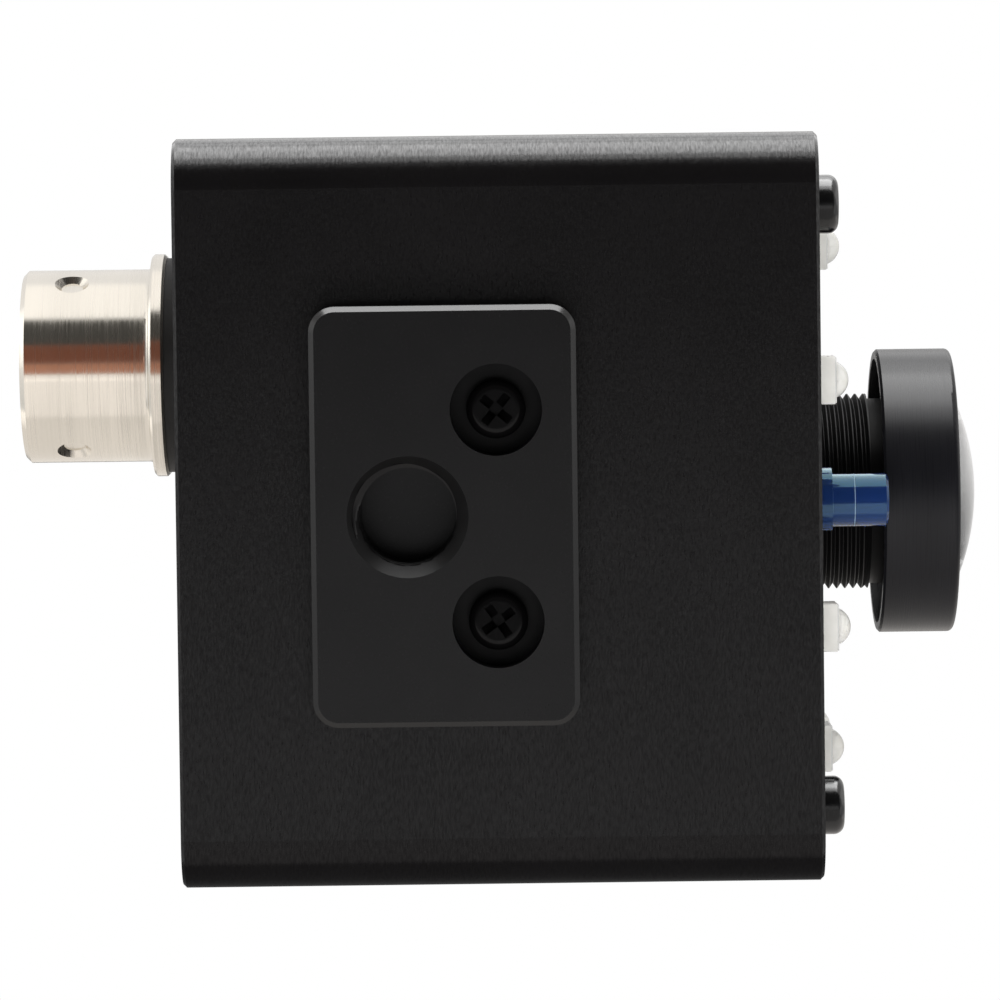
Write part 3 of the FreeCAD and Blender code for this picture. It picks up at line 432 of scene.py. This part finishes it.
def threaded_copy(node, thread, is_wall, point, span, fades):
    """A copy of a node's mesh whose plain wall is swapped for a thread.

    The thread may fade at either end of its span, and faces its axis where it is inside a hole."""
    shape = bmesh.new()
    shape.from_mesh(nodes[node].data)
    bmesh.ops.remove_doubles(shape, verts=shape.verts, dist=SAME_PLACE)
    wall = [face for face in shape.faces if all(is_wall(vertex.co) for vertex in face.verts)]
    bmesh.ops.delete(shape, geom=wall, context="FACES")
    start, end = span
    fade_length = 0.5 * thread.pitch
    first_turn = math.floor(start / thread.pitch) - 1
    last_turn = math.ceil(end / thread.pitch)
    shares = {corner for corner, cut in thread.turns}
    shares |= {number / thread.rows_each for number in range(thread.rows_each)}
    shares = sorted(shares - {1.0})
    rows = []
    for turn in range(first_turn, last_turn + 1):
        for share in shares:
            cut = thread.depth * thread_cut(thread.turns, share)
            row = []
            for step in range(thread.steps + 1):
                along = thread.pitch * (turn + share + step / thread.steps)
                fade = 1.0
                if fades[0]:
                    fade = min(fade, max(0.0, (along - start) / fade_length))
                if fades[1]:
                    fade = min(fade, max(0.0, (end - along) / fade_length))
                held = min(max(along, start), end)
                place = point(2 * math.pi * step / thread.steps, held, cut * fade)
                row.append(shape.verts.new(place))
            rows.append(row)
    for lower, upper in zip(rows, rows[1:]):
        for step in range(thread.steps):
            corners = [lower[step], lower[step + 1], upper[step + 1], upper[step]]
            shape.faces.new(corners[::-1] if thread.inside else corners)
    bmesh.ops.remove_doubles(shape, verts=[vertex for row in rows for vertex in row], dist=SAME_ROW)
    bmesh.ops.dissolve_degenerate(shape, dist=SAME_PLACE, edges=shape.edges)
    mesh = bpy.data.meshes.new(node + "_threaded")
    shape.to_mesh(mesh)
    shape.free()
    smooth(mesh)
    return mesh


# Lens barrel: its thread starts in front of the barrel's rear end, and the neck that follows the thread gets a
# darker copy of the barrel's finish, as painted shade under the lens ring
BARREL_R = 6.0 * MM
THREAD_SETBACK = 0.4 * MM
THREAD_REACH = 3.9 * MM
thread_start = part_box("lens_barrel")[0][0] + THREAD_SETBACK
thread_end = FRONT_X + THREAD_REACH


def on_barrel_wall(place):
    """Whether a point lies on the plain wall that the lens thread takes the place of."""
    away = math.hypot(place.y, place.z - AXIS_Z)
    in_span = thread_start - END_MARGIN < place.x < thread_end + END_MARGIN
    return in_span and abs(away - BARREL_R) < WALL_MARGIN


def barrel_point(angle, along, cut):
    """Point of the lens thread at an angle, a place along the axis and a depth of cut."""
    away = BARREL_R - cut
    return Vector((along, away * math.cos(angle), AXIS_Z + away * math.sin(angle)))


barrel_mesh = threaded_copy(
    "lens_barrel", LENS_THREAD, on_barrel_wall, barrel_point, (thread_start, thread_end), fades=(True, True))
barrel = add_piece("lens_barrel_threaded", barrel_mesh, barrel_black, "lens")
# The faces in front of the thread take the painted shade
barrel_mesh.materials.append(neck_painted_shade.material)
for face in barrel_mesh.polygons:
    if face.center.x > thread_end:
        face.material_index = 1
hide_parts("lens_barrel")

# Tripod plate and the bush behind it, with the thread that runs through both from the chamfered mouth
HOLE_R = 2.8 * MM
MOUTH_R = 3.5 * MM
BUSH_FLOOR = 0.7 * MM
plate_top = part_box("tripod_plate")[1][2]
hole_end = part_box("tripod_bush")[1][2] - BUSH_FLOOR


def on_hole_wall(place):
    """Whether a point lies on the plain wall or the mouth of the tripod hole."""
    away = math.hypot(place.x, place.y)
    wall_r = max(HOLE_R, MOUTH_R - place.z)
    return place.z < hole_end + END_MARGIN and abs(away - wall_r) < WALL_MARGIN


def hole_point(angle, along, cut):
    """Point of the tripod thread at an angle, a height and a depth of cut."""
    away = max(HOLE_R + cut, MOUTH_R - along)
    return Vector((away * math.cos(angle), away * math.sin(angle), along))


plate_mesh = threaded_copy(
    "tripod_plate", TRIPOD_THREAD, on_hole_wall, hole_point, (0, plate_top), fades=(False, False))
bush_mesh = threaded_copy(
    "tripod_bush", TRIPOD_THREAD, on_hole_wall, hole_point, (plate_top, hole_end), fades=(False, True))
bush = add_piece("tripod_bush_threaded", bush_mesh, plate_black, "camera")
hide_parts("tripod_bush")
plate = add_piece("tripod_plate_threaded", plate_mesh, plate_black, "camera")
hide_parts("tripod_plate")

# The counterbores and the mouth of the hole get a darker, duller copy of the plate's finish: painted shade in
# these recesses
RECESS_X = 5.14 * MM
RECESS_Y = 6.1 * MM
RECESS_R = 2.66 * MM
plate_mesh.materials.append(recess_painted_shade.material)
for face in plate_mesh.polygons:
    corners = [plate_mesh.vertices[corner].co for corner in face.vertices]
    for side in (-1, 1):
        if all(math.hypot(corner.x - RECESS_X, corner.y - side * RECESS_Y) < RECESS_R for corner in corners):
            face.material_index = 1
    if all(abs(math.hypot(corner.x, corner.y) - MOUTH_R + corner.z) < WALL_MARGIN for corner in corners):
        face.material_index = 1


def add_block(shape, x_span, y, z, half_y, half_z, bevel):
    """Adds a block with rounded edges, about a y and a z, to a mesh in the making."""
    low = (x_span[0], y - half_y, z - half_z)
    high = (x_span[1], y + half_y, z + half_z)
    corners = bmesh.ops.create_cube(shape, size=1.0)["verts"]
    for corner in corners:
        for axis in range(3):
            corner.co[axis] = high[axis] if corner.co[axis] > 0 else low[axis]
    edges = {edge for corner in corners for edge in corner.link_edges}
    bmesh.ops.bevel(shape, geom=list(edges), offset=bevel, segments=2, profile=0.5, affect="EDGES")


def add_ring(shape, x, y, z, radius, thickness, steps):
    """Adds a round ring about the X axis to a mesh in the making."""
    sides = 8
    rows = []
    for step in range(steps):
        turn = 2 * math.pi * step / steps
        row = []
        for side in range(sides):
            roll = 2 * math.pi * side / sides
            away = radius + thickness * math.cos(roll)
            place = (x + thickness * math.sin(roll), y + away * math.cos(turn), z + away * math.sin(turn))
            row.append(shape.verts.new(place))
        rows.append(row)
    for step in range(steps):
        row, after = rows[step], rows[(step + 1) % steps]
        for side in range(sides):
            other = (side + 1) % sides
            shape.faces.new((row[side], row[other], after[other], after[side]))


# Section of a copper track: how far it is sunk in the board, its height, and its top as a share of its width
TRACK_SINK = 0.005 * MM
TRACK_HEIGHT = 0.03 * MM
TRACK_TOP_SHARE = 0.7


def add_track(shape, path, width, closed=False):
    """Adds a raised copper track along y, z points on the front board, which faces +X."""
    foot = FRONT_X - TRACK_SINK
    top = foot + TRACK_HEIGHT
    count = len(path)
    rows = []
    for number, (y, z) in enumerate(path):
        before = path[number - 1] if number or closed else path[number]
        after = path[(number + 1) % count] if number + 1 < count or closed else path[number]
        along = Vector((after[0] - before[0], after[1] - before[1])).normalized()
        across = Vector((-along.y, along.x)) * width / 2
        inset = across * TRACK_TOP_SHARE
        row = [
            (foot, y - across.x, z - across.y),
            (top, y - inset.x, z - inset.y),
            (top, y + inset.x, z + inset.y),
            (foot, y + across.x, z + across.y),
        ]
        rows.append([shape.verts.new(place) for place in row])
    for number in range(count if closed else count - 1):
        row, after = rows[number], rows[(number + 1) % count]
        for side in range(3):
            shape.faces.new((row[side], row[side + 1], after[side + 1], after[side]))


def piece_from(name, shape, finish):
    """Turns a mesh in the making into a piece that moves with the camera."""
    bmesh.ops.recalc_face_normals(shape, faces=shape.faces)
    mesh = bpy.data.meshes.new(name)
    shape.to_mesh(mesh)
    shape.free()
    smooth(mesh)
    return add_piece(name, mesh, finish, "camera")


# Infrared lamps: the cast layer under each dome, the chip in it, and the soldered pads beside it
LAMP_OFFSETS = (7.3 * MM, 15.15 * MM)
LAMP_HALF = 1.41 * MM
LAYER_HALF = LAMP_HALF - 0.06 * MM
CHIP_HALF = 0.4 * MM
PAD_OFFSET = LAMP_HALF + 0.1 * MM
PAD_HALF_Y = 0.35 * MM
PAD_HALF_Z = 0.9 * MM
lamp_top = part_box("ir_led_bases")[1][0]
layer_span = (lamp_top - 0.05 * MM, lamp_top + 0.09 * MM)
chip_span = (lamp_top + 0.08 * MM, lamp_top + 0.22 * MM)
pad_span = (FRONT_X - 0.05 * MM, FRONT_X + 0.06 * MM)
lamp_places = []
for side_y in (-1, 1):
    for side_z in (-1, 1):
        lamp_places.append((side_y * LAMP_OFFSETS[0], side_z * LAMP_OFFSETS[1]))
        lamp_places.append((side_y * LAMP_OFFSETS[1], side_z * LAMP_OFFSETS[0]))
layers = bmesh.new()
chips = bmesh.new()
pads = bmesh.new()
for y, rise in lamp_places:
    z = AXIS_Z + rise
    add_block(layers, layer_span, y, z, LAYER_HALF, LAYER_HALF, bevel=0.03 * MM)
    add_block(chips, chip_span, y, z, CHIP_HALF, CHIP_HALF, bevel=0.02 * MM)
    for side in (-1, 1):
        add_block(pads, pad_span, y + side * PAD_OFFSET, z, PAD_HALF_Y, PAD_HALF_Z, bevel=0.025 * MM)
piece_from("lamp_layers", layers, lamp_layer)
piece_from("lamp_chips", chips, chip_black)

# Front board: copper tracks under the solder mask, one round the lens and one from it to each lamp
TRACK_BEND = 0.72
RING_TRACK_R = 8.0 * MM
RING_TRACK_WIDTH = 0.6 * MM
RING_TRACK_STEPS = 72
LAMP_TRACK_WIDTH = 0.45 * MM
tracks = bmesh.new()
ring_path = []
for step in range(RING_TRACK_STEPS):
    turn = 2 * math.pi * step / RING_TRACK_STEPS
    ring_path.append((RING_TRACK_R * math.cos(turn), AXIS_Z + RING_TRACK_R * math.sin(turn)))
add_track(tracks, ring_path, RING_TRACK_WIDTH, closed=True)
for y, rise in lamp_places:
    share = RING_TRACK_R / math.hypot(y, rise)
    bend = (y, rise * TRACK_BEND) if abs(rise) > abs(y) else (y * TRACK_BEND, rise)
    lamp_path = [(y * share, AXIS_Z + rise * share), (bend[0], AXIS_Z + bend[1]), (y, AXIS_Z + rise)]
    add_track(tracks, lamp_path, LAMP_TRACK_WIDTH)
piece_from("front_board_tracks", tracks, front_board_black)

# Front board: tinned rings round the light sensor's leads, which are one piece with the lamps' pads
LEAD_Y = 2.6 * MM
LEAD_RING_R = 0.45 * MM
LEAD_RING_THICKNESS = 0.05 * MM
sensor_z = middle("light_sensor", 2)
for side in (-1, 1):
    add_ring(pads, FRONT_X, side * LEAD_Y, sensor_z, LEAD_RING_R, LEAD_RING_THICKNESS, steps=48)
piece_from("front_board_pads", pads, tin)

# Light sensor: two seams of its mould, each at a height on it and a height above its wall, coloured pale blue as
# painted highlights
SENSOR_R = 1.585 * MM
SEAM_THICKNESS = 0.015 * MM
SEAMS = ((1.11 * MM, 0.012 * MM), (2.44 * MM, -0.004 * MM))
sensor_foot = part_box("light_sensor")[0][0]
seam = bmesh.new()
for height, proud in SEAMS:
    add_ring(seam, sensor_foot + height, 0, sensor_z, SENSOR_R + proud, SEAM_THICKNESS, steps=64)
piece_from("light_sensor_seam", seam, sensor_seam_painted_highlight)

# Light sensor: the frame cast into it, which is two posts and the cup on one of them
POST_Y = 0.75 * MM
POST_HALF = 0.25 * MM
POST_FOOT = 0.2 * MM
POST_TOPS = ((-1, 2.5 * MM), (1, 2.9 * MM))
CUP_Y = -0.45 * MM
CUP_HALF = 0.6 * MM
cup_span = (sensor_foot + 2.4 * MM, sensor_foot + 2.6 * MM)
posts = bmesh.new()
for side, top in POST_TOPS:
    post_span = (sensor_foot + POST_FOOT, sensor_foot + top)
    add_block(posts, post_span, side * POST_Y, sensor_z, POST_HALF, POST_HALF, bevel=0.03 * MM)
add_block(posts, cup_span, CUP_Y, sensor_z, CUP_HALF, CUP_HALF, bevel=0.04 * MM)
piece_from("light_sensor_frame", posts, tin)

# Floor, which shows from above and lets the view from below through
FLOOR_HALF = 3.0
FLOOR_DROP = 0.02 * MM
FLOOR_COLOUR = (0.86, 0.86, 0.86, 1)


def make_floor():
    """A pale floor just under the plate, which takes shadows and throws none."""
    mesh = bpy.data.meshes.new("floor")
    corners = [(x * FLOOR_HALF, y * FLOOR_HALF, 0) for x, y in ((-1, -1), (1, -1), (1, 1), (-1, 1))]
    mesh.from_pydata(corners, [], [(0, 1, 2, 3)])
    paint_job = bpy.data.materials.new("floor")
    paint_job.use_nodes = True
    tree = paint_job.node_tree
    tree.nodes.clear()
    pale = tree.nodes.new("ShaderNodeBsdfDiffuse")
    pale.inputs["Color"].default_value = FLOOR_COLOUR
    through = tree.nodes.new("ShaderNodeBsdfTransparent")
    side = tree.nodes.new("ShaderNodeNewGeometry")
    choice = tree.nodes.new("ShaderNodeMixShader")
    output = tree.nodes.new("ShaderNodeOutputMaterial")
    tree.links.new(side.outputs["Backfacing"], choice.inputs["Fac"])
    tree.links.new(pale.outputs["BSDF"], choice.inputs[1])
    tree.links.new(through.outputs["BSDF"], choice.inputs[2])
    tree.links.new(choice.outputs["Shader"], output.inputs["Surface"])
    mesh.materials.append(paint_job)
    plane = bpy.data.objects.new("floor", mesh)
    bpy.context.collection.objects.link(plane)
    plane.location.z = -FLOOR_DROP
    plane.visible_diffuse = False
    plane.visible_glossy = False
    plane.visible_transmission = False
    plane.visible_shadow = False
    plane.visible_volume_scatter = False
    return plane


floor = make_floor()

# World: white where the camera or glass looks, and for light and gloss a studio with bright and dark sides.
# Angles are in degrees about the X axis, from straight down (0) towards -Y (90) and straight up (180).
STUDIO_STRENGTH = 1.3
STUDIO = (
    (-180, (0.86, 0.85, 0.84)),
    (-165, (0.12, 0.12, 0.12)),
    (-61.2, (0.12, 0.12, 0.12)),
    (-61, (0.56, 0.54, 0.53)),
    (-15, (0.56, 0.54, 0.53)),
    (-13, (0.145, 0.145, 0.145)),
    (5, (0.145, 0.145, 0.145)),
    (7, (0.044, 0.044, 0.044)),
    (23, (0.044, 0.044, 0.044)),
    (25, (0.064, 0.062, 0.058)),
    (57, (0.064, 0.062, 0.058)),
    (63, (1.30, 1.28, 1.26)),
    (112, (1.30, 1.28, 1.26)),
    (122, (1.04, 1.04, 1.05)),
    (150, (1.00, 0.99, 0.99)),
    (165, (0.86, 0.85, 0.84)),
    (180, (0.86, 0.85, 0.84)),
)


def studio_colour(tree):
    """The studio's colour in the direction of a ray, from its angle about the X axis."""
    ray = tree.nodes.new("ShaderNodeTexCoord")
    turned = tree.nodes.new("ShaderNodeVectorMath")
    turned.operation = "SCALE"
    turned.inputs["Scale"].default_value = -1.0
    parts = tree.nodes.new("ShaderNodeSeparateXYZ")
    angle = tree.nodes.new("ShaderNodeMath")
    angle.operation = "ARCTAN2"
    share = tree.nodes.new("ShaderNodeMapRange")
    share.inputs["From Min"].default_value = -math.pi
    share.inputs["From Max"].default_value = math.pi
    studio = tree.nodes.new("ShaderNodeValToRGB")
    stops = studio.color_ramp.elements
    while len(stops) > 1:
        stops.remove(stops[-1])
    for number, (degrees, colour) in enumerate(STUDIO):
        place = (degrees + 180) / 360
        stop = stops.new(place) if number else stops[0]
        stop.position = place
        stop.color = (*(part / STUDIO_STRENGTH for part in colour), 1)
    tree.links.new(ray.outputs["Generated"], turned.inputs[0])
    tree.links.new(turned.outputs["Vector"], parts.inputs["Vector"])
    tree.links.new(parts.outputs["Y"], angle.inputs[0])
    tree.links.new(parts.outputs["Z"], angle.inputs[1])
    tree.links.new(angle.outputs["Value"], share.inputs["Value"])
    tree.links.new(share.outputs["Result"], studio.inputs["Fac"])
    return studio.outputs["Color"]


def make_world():
    """A world that is white to the camera and through glass, and the studio to all else."""
    world = bpy.data.worlds.new("studio")
    bpy.context.scene.world = world
    world.use_nodes = True
    tree = world.node_tree
    tree.nodes.clear()
    light = tree.nodes.new("ShaderNodeBackground")
    light.inputs["Strength"].default_value = STUDIO_STRENGTH
    tree.links.new(studio_colour(tree), light.inputs["Color"])
    white = tree.nodes.new("ShaderNodeBackground")
    white.inputs["Color"].default_value = (1, 1, 1, 1)
    ray_kind = tree.nodes.new("ShaderNodeLightPath")
    either = tree.nodes.new("ShaderNodeMath")
    either.operation = "MAXIMUM"
    choice = tree.nodes.new("ShaderNodeMixShader")
    output = tree.nodes.new("ShaderNodeOutputWorld")
    tree.links.new(ray_kind.outputs["Is Camera Ray"], either.inputs[0])
    tree.links.new(ray_kind.outputs["Is Transmission Ray"], either.inputs[1])
    tree.links.new(either.outputs["Value"], choice.inputs["Fac"])
    tree.links.new(light.outputs["Background"], choice.inputs[1])
    tree.links.new(white.outputs["Background"], choice.inputs[2])
    tree.links.new(choice.outputs["Shader"], output.inputs["Surface"])


make_world()

# Lamps. Each stands out from a point. Its brightness is that of its face, whatever its size and distance, so its
# power goes with its area.
CENTRE = Vector((8 * MM, 0, AXIS_Z))
LOWER_EDGE = Vector((5.3 * MM, -20.9 * MM, 5 * MM))
POWER_FOR_AREA = 4
FAR = 0.45
WHITE = (1, 1, 1)
CREAM = (1.0, 0.95, 0.90)


def soft_box(name, away, size, brightness, gloss=True, distance=FAR, colour=WHITE, centre=CENTRE):
    """A lamp out along a direction, of a size along X or Y and across, for gloss or for all but gloss."""
    lamp = bpy.data.lights.new(name, "AREA")
    lamp.shape = "RECTANGLE"
    lamp.size, lamp.size_y = size
    lamp.energy = POWER_FOR_AREA * brightness * lamp.size * lamp.size_y
    lamp.color = colour
    lamp_object = bpy.data.objects.new(name, lamp)
    bpy.context.collection.objects.link(lamp_object)
    lamp_object.location = centre + away * distance
    lamp_object.rotation_euler = (-away).to_track_quat("-Z", "Y").to_euler()
    lamp_object.visible_camera = False
    lamp_object.visible_transmission = False
    lamp_object.visible_glossy = gloss
    lamp_object.visible_diffuse = not gloss
    return lamp_object


def strip_box(name, start, end, brightness, length=0.82, distance=FAR, **others):
    """A lamp along X that fills a range of angles about the X axis, counted as the studio's are."""
    turn = math.radians((start + end) / 2)
    away = Vector((0, -math.sin(turn), -math.cos(turn)))
    width = 2 * distance * math.tan(math.radians(end - start) / 2)
    return soft_box(name, away, (length, width), brightness, distance=distance, **others)


def link_light(lamps, pieces, state):
    """Keeps lamps on some pieces only, or off them, as flags beside the lamps would do."""
    flag = bpy.data.collections.new(lamps[0].name + "_flag")
    for piece in pieces:
        flag.objects.link(piece)
    for entry in flag.collection_objects:
        entry.light_linking.link_state = state
    for lamp in lamps:
        lamp.light_linking.receiver_collection = flag


# Pieces that some lamps are kept on or off. The shaded ones are hidden from the bright panel.
housing = nodes["housing_tube"]
sensor = nodes["light_sensor"]
socket = [nodes["connector_shell"], nodes["connector_pins"]]
shaded = socket + [nodes["connector_gasket"], sensor, barrel]

# Soft light without gloss, from below and from the near side
SOFT_LENGTH = 0.4
SOFT_DISTANCE = 0.6
strip_box("lamp_below", -38, -2, 6.8, gloss=False, length=SOFT_LENGTH, distance=SOFT_DISTANCE)
lamp_side = strip_box("lamp_side", 92, 128, 2.5, gloss=False, length=SOFT_LENGTH, distance=SOFT_DISTANCE)
link_light([lamp_side], [floor], "EXCLUDE")

# Bright panel beside the near side, for all but the shaded pieces. Only its top strip lights the housing.
PANEL_LENGTH = 0.5
panels = [
    strip_box("lamp_panel_low", 60, 74, 3.0, length=PANEL_LENGTH),
    strip_box("lamp_panel", 74, 112, 8.0, length=PANEL_LENGTH),
    strip_box("lamp_panel_high", 112, 128, 2.55, length=PANEL_LENGTH),
]
link_light(panels, shaded + [housing], "EXCLUDE")
panel_top = strip_box("lamp_panel_top", 128, 155, 0.8, length=PANEL_LENGTH)
link_light([panel_top], shaded, "EXCLUDE")

# The same panel for the housing alone, close to its lower edge, so that its top doesn't mirror it
EDGE_PANEL_LENGTH = 80 * MM
EDGE_PANEL_DISTANCE = 60 * MM
EDGE_PANELS = (
    ("foot", 48, 60, 0.4),
    ("low", 60, 74, 3.0),
    ("middle", 74, 103, 8.0),
    ("upper", 103, 112, 6.5),
    ("high", 112, 128, 3.1),
    ("top", 128, 142, 0.8),
)
edge_panels = []
for word, start, end, brightness in EDGE_PANELS:
    edge_panels.append(
        strip_box(
            "lamp_edge_" + word, start, end, brightness, length=EDGE_PANEL_LENGTH,
            distance=EDGE_PANEL_DISTANCE, centre=LOWER_EDGE))
link_light(edge_panels, [housing], "INCLUDE")

# Panels on the far side, straight below, in front and behind
panel_far = strip_box("lamp_panel_far", -165, -61, 0.63, length=1.8, colour=CREAM)
link_light([panel_far], [housing], "EXCLUDE")
lamp_near = strip_box("lamp_near", -14, -2, 0.5)
link_light([lamp_near], socket + [sensor, nodes["tripod_plate_screws"]], "EXCLUDE")
for name, way in (("lamp_front", 1), ("lamp_rear", -1)):
    soft_box(name, Vector((way, 0, 0)), size=(0.5, 0.5), brightness=0.55)

# Lamps for the chamfered ends of the housing
end_lamps = [
    soft_box(name, Vector((way * 0.60, -0.48, 0.64)), size=(0.32, 0.32), brightness=1.1)
    for name, way in (("lamp_front_end", 1), ("lamp_rear_end", -1))
]
link_light(end_lamps, [housing], "INCLUDE")

# Cream and brown lamps that show in the socket, the cream one also in the lens ring
cream_lamp = strip_box("lamp_cream", -61, -14.5, 0.45, colour=CREAM)
link_light([cream_lamp], socket + [nodes["lens_front_ring"]], "INCLUDE")
socket_lamps = [
    strip_box("lamp_cream_edge", -14.5, -7, 0.8, colour=(1.0, 0.955, 0.92)),
    strip_box("lamp_brown", -6.5, 5.5, 0.275, colour=(1.0, 0.236, 0.0)),
    strip_box("lamp_umber", 6, 28, 0.116, colour=(1.0, 0.19, 0.0)),
]
link_light(socket_lamps, socket, "INCLUDE")

# Light that reaches the light sensor and the lens barrel from beside the housing
sensor_lamps = [
    strip_box("lamp_sensor_top", 61, 150, 2.6, colour=(0.75, 1.0, 1.02)),
    strip_box("lamp_sensor_low", -61, -13, 1.4),
]
link_light(sensor_lamps, [sensor], "INCLUDE")
barrel_lamp = strip_box("lamp_barrel", 61, 112, 1.3)
link_light([barrel_lamp], [barrel], "INCLUDE")

# Camera, at the photograph's place
CAMERA_PLACE = Vector((5.460, -16.450, -326.530)) * MM
CAMERA_TILT = math.radians(2.723)
CAMERA_SWING = math.radians(0.026)
CAMERA_ROLL = math.radians(-0.725)
CAMERA_LENS = 205.31
SENSOR_WIDTH = 36.0
camera_data = bpy.data.cameras.new("photo_camera")
camera_data.sensor_width = SENSOR_WIDTH
camera_data.lens = CAMERA_LENS
camera_data.clip_start = 10 * MM
camera = bpy.data.objects.new("photo_camera", camera_data)
bpy.context.collection.objects.link(camera)
rows = Matrix.Rotation(CAMERA_ROLL, 3, "Z") @ Matrix.Rotation(CAMERA_SWING, 3, "Y")
rows = rows @ Matrix.Rotation(CAMERA_TILT, 3, "X")
facing = rows.transposed() @ Matrix.Diagonal((1, -1, -1))
camera.matrix_world = Matrix.Translation(CAMERA_PLACE) @ facing.to_4x4()
bpy.context.scene.camera = camera
bpy.context.scene.view_settings.view_transform = "Standard"
